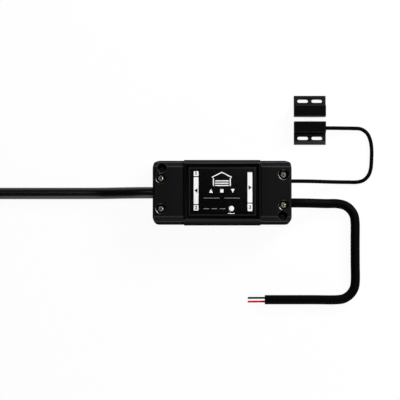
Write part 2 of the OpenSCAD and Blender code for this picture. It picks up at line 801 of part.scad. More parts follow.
// The tongue that reaches through the centre cover's dividing wall, with its root under the roof.
module cover_tongue() {
    root_l = 5;
    translate([half_c - tongue_l, -tongue_w / 2, cover_ceiling_z - tongue_t])
        cube([tongue_l + seam + root_l, tongue_w, tongue_t]);
    translate([half_c + seam, -tongue_w / 2, cover_ceiling_z - tongue_t])
        cube([root_l, tongue_w, tongue_t + over]);
}

// The outer form of an end cover.
module cover_block() {
    intersection() {
        along_x(cover_section, half_c + seam, half_l);
        along_y(cover_end_section, cover_w);
        plan_prism(0);
    }
}

module end_cover_left() {
    color("#1a1a1c") difference() {
        union() {
            rotate([0, 0, 180]) end_cover_shell();
            grip_rib(split_h, seat_z - pillar_wall);
        }
        cable_ways();
    }
}

module end_cover_right() {
    color("#1a1a1c") difference() {
        end_cover_shell();
        cable_ways();
    }
}

// Four pan-head screws with cross recesses, two in each end cover.
module cover_screws() {
    color("#b9b39d") both_ends() for (place = screw_places) translate(place) translate([0, 0, seat_z])
        cross_screw(screw_head_d, screw_head_h, screw_d, screw_l);
}

// A screw whose head stands on the origin, with its shank below.
module cross_screw(head_d, head_h, shank_d, shank_l) {
    dome = head_h / 3;
    difference() {
        union() {
            cylinder(d = head_d, h = head_h - dome);
            translate([0, 0, head_h - dome]) cylinder(d1 = head_d, d2 = head_d - 2 * dome, h = dome);
            translate([0, 0, -shank_l]) cylinder(d = shank_d, h = shank_l + dome);
        }
        for (turn = [0, 90]) rotate([0, 0, turn])
            standing_box(head_d * 0.6, screw_cross_w, head_h - screw_cross_h, head_h + over);
    }
}

module label_panel() {
    color("#050506") difference() {
        translate([0, 0, label_z]) linear_extrude(label_t)
            rounded_rect(label_l - 2 * label_fit, label_w - 2 * label_fit, label_r);
        translate([button_x, button_y, 0]) post(button_d + 2 * fit, label_z - over, total_h);
    }
}

// The button's cap, the collar that keeps it in the cover, and the stem that reaches down to the switch.
module pairing_button() {
    color("#f2f2f0") translate([button_x, button_y, 0]) {
        post(button_d, collar_top - button_collar_t, button_top - cap_chamfer);
        translate([0, 0, button_top - cap_chamfer])
            cylinder(d1 = button_d, d2 = button_d - 2 * cap_chamfer, h = cap_chamfer);
        post(button_collar_d, collar_top - button_collar_t, collar_top);
        post(button_stem_d, plunger_top, collar_top);
    }
}

module switch_plunger() {
    color("#3a3a3c") translate([button_x, button_y, 0])
        post(plunger_d, switch_top - plunger_depth, plunger_top);
}

module tact_switch() {
    well = plunger_depth + button_travel + fit;
    color("#55565a") translate([button_x, button_y, 0]) difference() {
        standing_box(switch_w, switch_w, board_top, switch_top);
        post(plunger_d + 2 * fit, switch_top - well, switch_top + over);
    }
}

module circuit_board() {
    color("#1f5a38") difference() {
        standing_box(2 * board_half_l, 2 * board_half_w, board_z, board_top);
        for (side = [-1, 1])
            translate([side * post_x, -side * post_y, 0]) post(board_screw_d + 2 * fit, 0, total_h);
    }
}

module board_screws() {
    color("#b8b8ba") for (side = [-1, 1])
        translate([side * post_x, -side * post_y, board_top])
            cross_screw(board_screw_head_d, board_screw_head_h, board_screw_d, board_t + post_h - over);
}

module relay() {
    color("#24406e") translate(relay_place) standing_box(relay_l, relay_w, board_top, board_top + relay_h);
}

module radio_module() {
    color("#20242c") translate(radio_place) standing_box(radio_l, radio_w, board_top, board_top + radio_t);
}

module shield_can() {
    can_z = board_top + radio_t;
    color("#c0c2c6") translate(radio_place) standing_box(shield_l, shield_w, can_z, can_z + shield_h);
}

// Two E-shaped ferrite halves, closed into a frame with a centre leg.
module transformer_core() {
    window_l = (core_l - core_leg) / 2 - core_frame;
    window_x = (core_leg + window_l) / 2;
    color("#3b3b3d") translate(transformer_place) difference() {
        standing_box(core_l, core_w, board_top, board_top + core_h);
        for (side = [-1, 1])
            translate([side * window_x, 0, 0])
                standing_box(window_l, core_w + 2 * over,
                    board_top + core_frame, board_top + core_h - core_frame);
    }
}

// The taped winding around the core's centre leg.
module transformer_winding() {
    z0 = board_top + core_frame + winding_fit;
    z1 = board_top + core_h - core_frame - winding_fit;
    outer_l = core_l - 2 * core_frame - 2 * winding_fit;
    color("#c9a53a") translate(transformer_place) difference() {
        standing_box(outer_l, core_w + 2 * winding_proud, z0, z1);
        standing_box(core_leg + 2 * winding_fit, core_w + 2 * winding_fit, z0 - over, z1 + over);
    }
}

// A round can that stands on the board, with the groove that such cans have near the foot.
module can(d, h) {
    groove_z = 1.6;
    groove = 0.4;
    difference() {
        post(d, board_top, board_top + h);
        translate([0, 0, board_top + groove_z]) rotate_extrude() translate([d / 2, 0]) circle(groove);
    }
}

module input_capacitor() {
    color("#2a2a30") translate(input_cap_place) can(input_cap_d, input_cap_h);
}

module output_capacitor() {
    color("#2a2a30") translate(output_cap_place) can(output_cap_d, output_cap_h);
}

module fuse() {
    color("#6b3a22") translate(fuse_place) post(fuse_d, board_top, board_top + fuse_h);
}

// A two-pole terminal block whose wire entries face +X, about the middle of its two poles.
module terminal_block(pitch, width, wire_d) {
    difference() {
        translate([terminal_x, -width / 2, board_top]) cube([terminal_l, width, terminal_h]);
        for (side = [-1, 1]) translate([0, side * pitch / 2, 0]) {
            translate([terminal_face - entry_depth, 0, entry_z]) rotate([0, 90, 0])
                cylinder(d = wire_d + 2 * wire_fit, h = entry_depth + over);
            translate([terminal_x + terminal_l / 2, 0, 0])
                post(terminal_screw_d + 2 * thread_fit, screw_foot_z, board_top + terminal_h + over);
        }
    }
}

module mains_terminal() {
    color("#2f6d3c") rotate([0, 0, 180]) terminal_block(mains_pitch, mains_terminal_w, mains_wire_d);
}

module sensor_terminal() {
    color("#2f6d3c") translate([0, sensor_terminal_y, 0])
        terminal_block(signal_pitch, signal_terminal_w, sensor_wire_d);
}

module trigger_terminal() {
    color("#2f6d3c") translate([0, trigger_terminal_y, 0])
        terminal_block(signal_pitch, signal_terminal_w, trigger_wire_d);
}

// Two slotted screws of a terminal block.
module terminal_screw_pair(pitch) {
    top = board_top + terminal_h - terminal_screw_sink;
    for (side = [-1, 1])
        translate([terminal_x + terminal_l / 2, side * pitch / 2, 0]) difference() {
            post(terminal_screw_d, screw_foot_z, top);
            standing_box(terminal_screw_d + over, screw_cross_w, top - screw_cross_h, top + over);
        }
}

module terminal_screws() {
    color("#c8c8c8") {
        rotate([0, 0, 180]) terminal_screw_pair(mains_pitch);
        translate([0, sensor_terminal_y, 0]) terminal_screw_pair(signal_pitch);
        translate([0, trigger_terminal_y, 0]) terminal_screw_pair(signal_pitch);
    }
}

// A wire that runs straight out of a sheath's end, then across to a terminal's pole and into it.
module bay_wire(start, middle_x, pole_y, d) {
    lead_in = 1;
    sides = 8;
    route = [start, [middle_x, start[1], start[2]], [terminal_face + lead_in, pole_y, entry_z],
        [wire_end, pole_y, entry_z]];
    tube(route, d / 2, sides);
}

module mains_wires() {
    spread = 2;
    color("#7a4a2a") for (side = [-1, 1]) rotate([0, 0, 180])
        bay_wire([-lead_sheath_end, side * spread, cable_z], -lead_sheath_end - 1.5, side * mains_pitch / 2,
            mains_wire_d);
}

module sensor_wires() {
    spread = 0.6;
    color("#d8d8d8") for (side = [-1, 1])
        bay_wire([sheath_end, sensor_y + side * spread, cable_z], sheath_end - 2,
            sensor_terminal_y + side * signal_pitch / 2, sensor_wire_d);
}

// Inside the case the trigger wires pass beside a screw pillar, one above the other.
module trigger_wires() {
    shift = 1.5;
    spread = 0.8;
    color("#b03030") for (side = [-1, 1])
        bay_wire([sheath_end, trigger_y + shift, cable_z + side * spread], sheath_end - 5,
            trigger_terminal_y + side * signal_pitch / 2, trigger_wire_d);
}

module mains_lead() {
    color("#101011") tube(mains_route, lead_r, 12);
}

module mains_lead_coil() {
    color("#101011") tube(coil_route, lead_r, 6);
}

// A strap around all the turns at the side of the coil that is furthest from the lead.
module coil_tie() {
    inner_r = coil_min_r - lead_r - tie_gap;
    outer_r = coil_min_r + 2 * coil_pitch + lead_r + tie_gap;
    top_z = coil_z + coil_pitch + lead_r + tie_gap;
    hole = [outer_r - inner_r, top_z - tie_t];
    strap_r = 2;
    color("#2b2b2d") translate([coil_x - tie_w / 2, coil_y - (inner_r + outer_r) / 2, (top_z + tie_t) / 2])
        rotate([90, 0, 90]) linear_extrude(tie_w) difference() {
            rounded_rect(hole[0] + 2 * tie_t, hole[1] + 2 * tie_t, strap_r + tie_t);
            rounded_rect(hole[0], hole[1], strap_r);
        }
}

// The plug's pieces are drawn along +X from the end of the lead, and turned to where the coil ends.
module at_plug() {
    translate(plug_place) rotate([0, 0, -90]) children();
}

module plug_body() {
    neck = relief_d / 2 - groove_h;
    shoulder_end = relief_l + plug_shoulder;
    color("#121213") at_plug() difference() {
        union() {
            rotate([0, 90, 0]) cylinder(r1 = lead_r + relief_lip, r2 = relief_d / 2, h = relief_l + over);
            intersection() {
                along_x_block(relief_l, plug_face);
                plug_outline(neck, shoulder_end, plug_w / 2);
                rotate([90, 0, 0]) plug_outline(neck, shoulder_end, plug_t / 2);
            }
        }
        for (i = [1:relief_grooves]) relief_groove(relief_l * i / (relief_grooves + 1));
        plug_slots();
    }
}

// The plug body's cross-section between two places along the lead.
module along_x_block(x0, x1) {
    translate([x0, 0, 0]) rotate([90, 0, 90]) linear_extrude(x1 - x0) rounded_rect(plug_w, plug_t, plug_r);
}

// The plug body's outline from one side: shoulders that widen from the strain relief to the full half width.
module plug_outline(neck, shoulder_end, half) {
    translate([0, 0, -plug_w]) linear_extrude(2 * plug_w) polygon([
        [relief_l, -neck], [shoulder_end, -half], [plug_face, -half],
        [plug_face, half], [shoulder_end, half], [relief_l, neck]]);
}

// A ring cut around the strain relief.
module relief_groove(x) {
    share = x / relief_l;
    surface_r = (lead_r + relief_lip) * (1 - share) + relief_d / 2 * share;
    translate([x - groove_w / 2, 0, 0]) rotate([0, 90, 0]) difference() {
        cylinder(d = relief_d + 2 * over, h = groove_w);
        translate([0, 0, -over]) cylinder(r = surface_r - groove_h, h = groove_w + 2 * over);
    }
}

// The slots that hold the blades.
module plug_slots() {
    for (side = [-1, 1])
        translate([plug_face - blade_root, side * blade_pitch / 2, 0]) rotate([0, 90, 0])
            standing_box(blade_w + 2 * thread_fit, blade_t + 2 * thread_fit, 0, blade_root + over);
}

// Two flat blades with a hole and a narrowed tip.
module plug_blades() {
    tip = 1.5;
    x1 = plug_face + blade_l;
    half = blade_w / 2;
    color("#c9b27a") at_plug() for (side = [-1, 1])
        translate([0, side * blade_pitch / 2 + blade_t / 2, 0]) rotate([90, 0, 0]) linear_extrude(blade_t)
            difference() {
                polygon([[plug_face - blade_root, -half], [x1 - tip, -half], [x1, tip - half],
                    [x1, half - tip], [x1 - tip, half], [plug_face - blade_root, half]]);
                translate([x1 - blade_hole_inset, 0]) circle(d = blade_hole_d);
            }
}

module sensor_lead() {
    color("#0e0e0f") tube(sensor_route, sensor_d / 2, 8);
}

module trigger_cable() {
    color("#0e0e0f") tube(trigger_route, trigger_d / 2, 12);
}

module trigger_wire_black() {
    color("#0b0b0c") tube(black_wire_route, trigger_wire_d / 2, 8);
}

module trigger_wire_red() {
    color("#be1e28") tube(red_wire_route, trigger_wire_d / 2, 8);
}

// A row of two slots for screws, through a flange.
module slot_pair(y) {
    for (side = [-1, 1])
        translate([contact_x + side * slot_pitch / 2, y, -over]) linear_extrude(flange_t + 2 * over)
            rounded_slot(slot_l, slot_w);
}

// A slot with round ends.
module rounded_slot(length, width) {
    square([length - width, width], center = true);
    for (side = [-1, 1]) translate([side * (length - width) / 2, 0]) circle(d = width);
}

// The hollow under a contact's block, from which it is filled.
module contact_pocket(y0, width) {
    translate([contact_x, y0 + contact_wall + width / 2, 0]) standing_box(pocket_l, width, -over, pocket_h);
}

module reed_housing() {
    y0 = reed_block_y - reed_flange_w;
    y1 = reed_block_y + reed_block_w;
    section = [[y0, 0], [y1, 0], [y1, contact_h - contact_chamfer], [y1 - contact_chamfer, contact_h],
        [reed_block_y + contact_chamfer, contact_h], [reed_block_y, contact_h - contact_chamfer],
        [reed_block_y, flange_t], [y0 + flange_slope_w, flange_t], [y0, flange_t - flange_slope_h]];
    color("#161617") difference() {
        along_x(section, contact_x - contact_l / 2, contact_x + contact_l / 2);
        slot_pair(reed_block_y - reed_slot_inset);
        contact_pocket(reed_block_y, pocket_w);
        translate([contact_x, reed_lead_y, reed_lead_z]) rotate([0, 90, 0])
            cylinder(d = sensor_d + 2 * cable_fit, h = contact_l);
    }
}

// A glass capsule with a lead at each end, lying on the fill.
// It lies a little off the middle to leave room for the cable.
module reed_capsule() {
    cable_room = 0.7;
    place = [contact_x - cable_room, reed_lead_y, fill_t + reed_d / 2];
    color("#bfd3c8") translate(place) rotate([0, 90, 0]) {
        translate([0, 0, -reed_l / 2]) cylinder(d = reed_d, h = reed_l);
        translate([0, 0, -reed_l / 2 - reed_pin_l]) cylinder(d = reed_pin_d, h = reed_l + 2 * reed_pin_l);
    }
}

// The fill that closes a contact's pocket from below.
module contact_fill(y0, width) {
    translate([contact_x, y0 + contact_wall + width / 2, 0])
        standing_box(pocket_l - 2 * thread_fit, width - 2 * thread_fit, 0, fill_t);
}

module reed_fill() {
    color("#232325") contact_fill(reed_block_y, pocket_w);
}

module magnet_housing() {
    y1 = magnet_block_y + magnet_block_w;
    y2 = y1 + magnet_flange_w;
    section = [[magnet_block_y, 0], [y2, 0], [y2, flange_t], [y1, flange_t],
        [y1, contact_h - contact_chamfer], [y1 - contact_chamfer, contact_h],
        [magnet_block_y + contact_chamfer, contact_h], [magnet_block_y, contact_h - contact_chamfer]];
    color("#161617") difference() {
        along_x(section, contact_x - contact_l / 2, contact_x + contact_l / 2);
        slot_pair(y1 + magnet_slot_inset);
        contact_pocket(magnet_block_y, magnet_pocket_w);
    }
}

module magnet() {
    color("#8d8f94") translate([contact_x, magnet_block_y + magnet_block_w / 2, 0])
        standing_box(magnet_l, magnet_w, fill_t, fill_t + magnet_w);
}

module magnet_fill() {
    color("#232325") contact_fill(magnet_block_y, magnet_pocket_w);
}

base_shell();
centre_cover();
end_cover_left();
end_cover_right();
cover_screws();
label_panel();
pairing_button();
switch_plunger();
tact_switch();
circuit_board();
board_screws();
relay();
radio_module();
shield_can();
transformer_core();
transformer_winding();
input_capacitor();
output_capacitor();
fuse();
mains_terminal();
sensor_terminal();
trigger_terminal();
terminal_screws();
mains_wires();
sensor_wires();
trigger_wires();
mains_lead();
mains_lead_coil();
coil_tie();
plug_body();
plug_blades();
sensor_lead();
trigger_cable();
trigger_wire_black();
trigger_wire_red();
reed_housing();
reed_capsule();
reed_fill();
magnet_housing();
magnet();
magnet_fill();
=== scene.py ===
import math

import bmesh
import bpy
from mathutils import Matrix, Vector
from mathutils.bvhtree import BVHTree


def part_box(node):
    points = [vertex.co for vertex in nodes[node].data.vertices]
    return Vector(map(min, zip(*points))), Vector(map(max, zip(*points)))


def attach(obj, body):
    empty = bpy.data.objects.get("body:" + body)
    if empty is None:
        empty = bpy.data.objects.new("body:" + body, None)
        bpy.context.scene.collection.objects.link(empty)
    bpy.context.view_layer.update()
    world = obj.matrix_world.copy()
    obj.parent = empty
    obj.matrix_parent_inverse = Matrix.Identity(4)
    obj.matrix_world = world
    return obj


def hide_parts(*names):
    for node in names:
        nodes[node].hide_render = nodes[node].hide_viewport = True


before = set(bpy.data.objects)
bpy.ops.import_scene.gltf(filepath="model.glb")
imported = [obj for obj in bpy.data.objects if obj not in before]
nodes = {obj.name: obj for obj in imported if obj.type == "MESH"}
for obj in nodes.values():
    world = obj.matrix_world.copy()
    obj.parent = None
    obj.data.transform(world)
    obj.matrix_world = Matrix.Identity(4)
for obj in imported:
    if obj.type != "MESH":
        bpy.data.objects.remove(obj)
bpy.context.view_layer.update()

scene = bpy.context.scene
scene.view_settings.view_transform = "Standard"
mm = 0.001

cameraView = {
    "aim": (-0.0145, -0.0047, 0.010),  # the point in the middle of the photograph
    "width": 0.262,                    # what the photograph takes in from side to side
    "distance": 1.7,
    "tilt": 3.5,                       # degrees that the camera leans towards the lower edge
    "sensor": 36,
    "clip": (0.05, 20),                # the nearest and the farthest that it sees
}


def makeCamera(spec):
    lens = bpy.data.cameras.new("photoCamera")
    lens.sensor_width = spec["sensor"]
    lens.lens = spec["sensor"] * spec["distance"] / spec["width"]
    lens.clip_start, lens.clip_end = spec["clip"]
    camera = bpy.data.objects.new("photoCamera", lens)
    tilt = math.radians(spec["tilt"])
    back = Vector((0, -math.sin(tilt), math.cos(tilt)))
    camera.location = Vector(spec["aim"]) + back * spec["distance"]
    camera.rotation_euler = (tilt, 0, 0)
    scene.collection.objects.link(camera)
    scene.camera = camera


makeCamera(cameraView)
print("camera in place")


# Small helpers that every piece uses.

def addObject(name, mesh):
    piece = bpy.data.objects.new(name, mesh)
    scene.collection.objects.link(piece)
    return piece


def meshFrom(bm, name, smoothAngle=None):
    mesh = bpy.data.meshes.new(name)
    bm.to_mesh(mesh)
    bm.free()
    if smoothAngle is not None:
        mesh.shade_smooth()
        mesh.set_sharp_from_angle(angle=math.radians(smoothAngle))
    return mesh


def bakedMesh(source, name):
    bpy.context.view_layer.update()
    shown = source.evaluated_get(bpy.context.evaluated_depsgraph_get())
    mesh = bpy.data.meshes.new_from_object(shown)
    mesh.name = name
    bpy.data.objects.remove(source)
    return mesh


def setPaint(piece, material):
    piece.data.materials.clear()
    piece.data.materials.append(material)


def inputId(tree, name):
    for item in tree.interface.items_tree:
        if item.item_type == "SOCKET" and item.in_out == "INPUT" and item.name == name:
            return item.identifier


def newTree(name, inputs):
    tree = bpy.data.node_groups.new(name, "GeometryNodeTree")
    tree.interface.new_socket("Geometry", in_out="INPUT", socket_type="NodeSocketGeometry")
    for label, kind in inputs:
        tree.interface.new_socket(label, in_out="INPUT", socket_type=kind)
    tree.interface.new_socket("Geometry", in_out="OUTPUT", socket_type="NodeSocketGeometry")
    return tree


def runTree(tree, source, values):
    modifier = source.modifiers.new(tree.name, "NODES")
    for label, value in values.items():
        modifier[inputId(tree, label)] = value
    modifier.node_group = tree


def wire(tree, *links):
    for source, output, target, entry in links:
        tree.links.new(source.outputs[output], target.inputs[entry])


# Finishes. Colours are linear, and lengths are in metres.
surfaces = {
    "clouds": 9 * mm,                 # size of the faint clouds in a plastic's colour
    "plasticBump": 0.4,
    "edgeSmoothing": -0.2,                   # what the painted highlight mask on an edge adds to its roughness
    "jacketLines": 0.6 * mm,          # width of the lines that run along a jacket
    "jacketStretch": (0.02, 1, 1),
    "jacketDetail": 2.0,
    "jacketPores": 0.5 * mm,
    "jacketBump": (0.25, 0.03 * mm),  # strength and depth
    "metalStreaks": 0.3 * mm,
    "metalBump": (0.15, 0.01 * mm),
}


def startMaterial(name):
    material = bpy.data.materials.new(name)
    material.use_nodes = True
    tree = material.node_tree
    shader = tree.nodes["Principled BSDF"]
    place = tree.nodes.new("ShaderNodeTexCoord")
    return material, tree, shader, place


def noiseNode(tree, vector, size, detail=3.0):
    noise = tree.nodes.new("ShaderNodeTexNoise")
    noise.inputs["Scale"].default_value = 1 / size
    noise.inputs["Detail"].default_value = detail
    tree.links.new(vector, noise.inputs["Vector"])
    return noise.outputs["Fac"]


def mixColor(tree, share, first, second):
    mix = tree.nodes.new("ShaderNodeMix")
    mix.data_type = "RGBA"
    tree.links.new(share, mix.inputs[0])
    for socket, color in ((mix.inputs[6], first), (mix.inputs[7], second)):
        if isinstance(color, tuple):
            socket.default_value = (*color, 1)
        else:
            tree.links.new(color, socket)
    return mix.outputs[2]


def mapRange(tree, value, low, high, fromLow=0.3, fromHigh=0.7):
    node = tree.nodes.new("ShaderNodeMapRange")
    tree.links.new(value, node.inputs["Value"])
    node.inputs["From Min"].default_value = fromLow
    node.inputs["From Max"].default_value = fromHigh
    node.inputs["To Min"].default_value = low
    node.inputs["To Max"].default_value = high
    return node.outputs["Result"]


def bumpFrom(tree, shader, height, strength, depth):
    bump = tree.nodes.new("ShaderNodeBump")
    bump.inputs["Strength"].default_value = strength
    bump.inputs["Distance"].default_value = depth
    tree.links.new(height, bump.inputs["Height"])
    tree.links.new(bump.outputs["Normal"], shader.inputs["Normal"])


def coat(tree, shader, paint, rough):
    tree.links.new(paint, shader.inputs["Base Color"])
    tree.links.new(rough, shader.inputs["Roughness"])


def plasticFinish(name, color, shade, roughness, grain=0.25 * mm, depth=0.02 * mm, gloss=0.3, edge=None):
    material, tree, shader, place = startMaterial(name)
    fine = noiseNode(tree, place.outputs["Object"], grain)
    broad = noiseNode(tree, place.outputs["Object"], surfaces["clouds"])
    paint = mixColor(tree, mapRange(tree, broad, 0, 1), color, shade)
    rough = mapRange(tree, fine, *roughness)
    if edge:  # painted highlight: edges in the mask get a paler colour, and a lower roughness
        highlightMask = tree.nodes.new("ShaderNodeAttribute")
        highlightMask.attribute_name = "edgeHighlight"
        paint = mixColor(tree, highlightMask.outputs["Fac"], paint, edge)
        edgeSmoothing = tree.nodes.new("ShaderNodeMath")
        edgeSmoothing.operation = "MULTIPLY_ADD"
        edgeSmoothing.inputs[1].default_value = surfaces["edgeSmoothing"]
        tree.links.new(highlightMask.outputs["Fac"], edgeSmoothing.inputs[0])
        tree.links.new(rough, edgeSmoothing.inputs[2])
        rough = edgeSmoothing.outputs[0]
    coat(tree, shader, paint, rough)
    shader.inputs["Specular IOR Level"].default_value = gloss
    bumpFrom(tree, shader, fine, surfaces["plasticBump"], depth)
    return material


def jacketFinish(name, color, shade, roughness, gloss=0.3):
    material, tree, shader, place = startMaterial(name)
    run = tree.nodes.new("ShaderNodeAttribute")
    run.attribute_name = "jacketRun"  # along the cable, and around it
    drawn = tree.nodes.new("ShaderNodeMapping")
    drawn.inputs["Scale"].default_value = surfaces["jacketStretch"]
    tree.links.new(run.outputs["Vector"], drawn.inputs["Vector"])
    lines = noiseNode(tree, drawn.outputs["Vector"], surfaces["jacketLines"], surfaces["jacketDetail"])
    pores = noiseNode(tree, place.outputs["Object"], surfaces["jacketPores"])
    paint = mixColor(tree, mapRange(tree, lines, 0, 1), color, shade)
    coat(tree, shader, paint, mapRange(tree, pores, *roughness))
    shader.inputs["Specular IOR Level"].default_value = gloss
    bumpFrom(tree, shader, lines, *surfaces["jacketBump"])
    return material


def metalFinish(name, color, shade, roughness, brush=(1, 1, 1), metallic=1):
    material, tree, shader, place = startMaterial(name)
    turn = tree.nodes.new("ShaderNodeMapping")
    turn.inputs["Scale"].default_value = brush
    tree.links.new(place.outputs["Object"], turn.inputs["Vector"])
    streaks = noiseNode(tree, turn.outputs["Vector"], surfaces["metalStreaks"])
    paint = mixColor(tree, mapRange(tree, streaks, 0, 1), color, shade)
    coat(tree, shader, paint, mapRange(tree, streaks, *roughness))
    shader.inputs["Metallic"].default_value = metallic
    bumpFrom(tree, shader, streaks, *surfaces["metalBump"])
    return material


# Each finish has its colour, the shade that it clouds over to, the range of its roughness, and its extras.
# The edge colour in the extras is a painted highlight, laid on the rounded edges that the moulded pieces
# mark.
plastics = {
    "caseBlack": ((0.0034, 0.0034, 0.0036), (0.004, 0.004, 0.0042), (0.42, 0.5),
                  dict(gloss=0.05, edge=(0.07, 0.07, 0.072))),
    "sideBlack": ((0.008, 0.008, 0.0083), (0.01, 0.01, 0.0103), (0.7, 0.8),
                  dict(gloss=0.0, edge=(0.07, 0.07, 0.072))),
    "tubePaintedLight": ((0.018, 0.018, 0.0185), (0.022, 0.022, 0.0225), (0.6, 0.7), dict(gloss=0.1)),
    "mouthBlack": ((0.001, 0.001, 0.001), (0.0015, 0.0015, 0.0015), (0.18, 0.24),
                   dict(depth=0.004 * mm, gloss=1.0)),
    "recessPaintedShade": ((0.001, 0.001, 0.001), (0.0014, 0.0014, 0.0014), (0.4, 0.5), dict(gloss=0.01)),
    "labelGloss": ((0.0008, 0.0008, 0.0009), (0.0011, 0.0011, 0.0012), (0.1, 0.16),
                   dict(grain=0.8 * mm, depth=0.002 * mm, gloss=0.3, edge=(0.01, 0.01, 0.011))),
    "buttonWhite": ((0.86, 0.86, 0.84), (0.82, 0.82, 0.8), (0.3, 0.4), dict(gloss=0.4)),
    "inkWhite": ((0.9, 0.9, 0.9), (0.86, 0.86, 0.86), (0.45, 0.55), dict(gloss=0.2)),
    "labelRimHighlight": ((0.006, 0.006, 0.006), (0.005, 0.005, 0.005), (0.4, 0.5), dict(gloss=0.1)),
    "inkSilver": ((0.2, 0.2, 0.2), (0.18, 0.18, 0.18), (0.4, 0.5), dict(gloss=0.2)),
    "inkBlack": ((0.002, 0.002, 0.002), (0.003, 0.003, 0.003), (0.4, 0.5), dict(gloss=0.2)),
    "contactBlack": ((0.0012, 0.0012, 0.0013), (0.0018, 0.0018, 0.0019), (0.4, 0.5),
                     dict(gloss=0.02, edge=(0.03, 0.03, 0.031))),
    "flangeBlack": ((0.006, 0.006, 0.0062), (0.0075, 0.0075, 0.0077), (0.5, 0.6),
                    dict(gloss=0.06, edge=(0.02, 0.02, 0.02))),
    "lipPaintedHighlight": ((0.032, 0.032, 0.033), (0.04, 0.04, 0.041), (0.5, 0.6),
                 dict(gloss=0.1, edge=(0.05, 0.05, 0.05))),
    "plugBlack": ((0.006, 0.006, 0.0062), (0.008, 0.008, 0.0082), (0.42, 0.55),
                  dict(grain=0.5 * mm, edge=(0.012, 0.012, 0.012))),
    "tieBlack": ((0.008, 0.008, 0.0085), (0.014, 0.014, 0.0145), (0.6, 0.8),
                 dict(grain=0.35 * mm, depth=0.12 * mm, gloss=0.15)),
    "switchDark": ((0.03, 0.03, 0.032), (0.04, 0.04, 0.042), (0.4, 0.5), {}),
    "relayBlue": ((0.018, 0.05, 0.16), (0.015, 0.042, 0.135), (0.35, 0.45), {}),
    "moduleBoard": ((0.012, 0.015, 0.022), (0.018, 0.02, 0.03), (0.3, 0.4), {}),
    "ferriteGrey": ((0.035, 0.034, 0.034), (0.06, 0.058, 0.057), (0.6, 0.75), dict(depth=0.05 * mm)),
    "fuseBrown": ((0.15, 0.05, 0.02), (0.12, 0.04, 0.016), (0.3, 0.42), {}),
    "terminalGreen": ((0.03, 0.15, 0.05), (0.025, 0.125, 0.042), (0.38, 0.5), {}),
    "fillBlack": ((0.012, 0.012, 0.0125), (0.018, 0.018, 0.019), (0.2, 0.35), dict(grain=1.2 * mm)),
    "wireBrown": ((0.14, 0.05, 0.02), (0.12, 0.043, 0.017), (0.4, 0.5), {}),
    "wireWhite": ((0.75, 0.75, 0.72), (0.7, 0.7, 0.67), (0.4, 0.5), {}),
}
jackets = {
    "leadJacket": ((0.0012, 0.0012, 0.0012), (0.002, 0.002, 0.002), (0.26, 0.34), dict(gloss=0.4)),
    "cableJacket": ((0.0012, 0.0012, 0.0012), (0.002, 0.002, 0.002), (0.42, 0.52), dict(gloss=0.015)),
    "wireBlack": ((0.002, 0.002, 0.002), (0.004, 0.004, 0.004), (0.4, 0.5), dict(gloss=0.03)),
    "wireRed": ((0.68, 0.013, 0.018), (0.62, 0.011, 0.015), (0.4, 0.5), dict(gloss=0.05)),
}
metals = {
    "screwPlated": ((0.9, 0.92, 0.72), (0.78, 0.79, 0.6), (0.24, 0.32), dict(metallic=0.6)),
    "crossPaintedShade": ((0.05, 0.045, 0.035), (0.03, 0.027, 0.02), (0.5, 0.6), dict(metallic=0.5)),
    "tinnedSteel": ((0.62, 0.63, 0.64), (0.54, 0.55, 0.56), (0.25, 0.38), dict(brush=(1, 0.05, 1))),
    "magnetNickel": ((0.5, 0.5, 0.5), (0.42, 0.42, 0.42), (0.3, 0.45), {}),
    "bladeBrass": ((0.72, 0.58, 0.3), (0.64, 0.5, 0.25), (0.22, 0.34), dict(brush=(1, 0.06, 1))),
    "copperStrand": ((0.72, 0.36, 0.2), (0.6, 0.28, 0.15), (0.3, 0.42), {}),
}
finishes = {}
for makeFinish, table in ((plasticFinish, plastics), (jacketFinish, jackets), (metalFinish, metals)):
    for name, (color, shade, roughness, extras) in table.items():
        finishes[name] = makeFinish(name, color, shade, roughness, **extras)


boardLook = {
    "fields": 9 * mm,            # size of the copper fields under the green
    "fieldColors": ((0.01, 0.07, 0.03, 1), (0.012, 0.08, 0.034, 1)),
    "gap": 0.03,                 # width of the gaps between the fields, as a share of their size
    "gapColor": (0.03, 0.15, 0.06, 1),
    "grain": 0.6 * mm,
    "roughness": (0.25, 0.38),
    "bump": (0.3, 0.03 * mm),
}


def boardFinish(spec):
    material, tree, shader, place = startMaterial("boardGreen")
    tracks = tree.nodes.new("ShaderNodeTexBrick")
    tracks.inputs["Scale"].default_value = 1 / spec["fields"]
    tracks.inputs["Mortar Size"].default_value = spec["gap"]
    tracks.inputs["Color1"].default_value, tracks.inputs["Color2"].default_value = spec["fieldColors"]
    tracks.inputs["Mortar"].default_value = spec["gapColor"]
    tree.links.new(place.outputs["Object"], tracks.inputs["Vector"])
    grain = noiseNode(tree, place.outputs["Object"], spec["grain"])
    coat(tree, shader, tracks.outputs["Color"], mapRange(tree, grain, *spec["roughness"]))
    bumpFrom(tree, shader, tracks.outputs["Fac"], *spec["bump"])
    return material


tapeLook = {
    "lap": 6 * mm,
    "waver": 0.4,
    "colors": ((0.5, 0.33, 0.05), (0.62, 0.43, 0.08)),
    "grain": 0.5 * mm,
    "roughness": (0.3, 0.45),
    "bump": (0.3, 0.05 * mm),
}


def tapeFinish(spec):
    material, tree, shader, place = startMaterial("windingTape")
    laps = tree.nodes.new("ShaderNodeTexWave")
    laps.bands_direction = "Z"
    laps.inputs["Scale"].default_value = 1 / spec["lap"]
    laps.inputs["Distortion"].default_value = spec["waver"]
    tree.links.new(place.outputs["Object"], laps.inputs["Vector"])
    paint = mixColor(tree, laps.outputs["Fac"], *spec["colors"])
    grain = noiseNode(tree, place.outputs["Object"], spec["grain"])
    coat(tree, shader, paint, mapRange(tree, grain, *spec["roughness"]))
    bumpFrom(tree, shader, laps.outputs["Fac"], *spec["bump"])
    return material


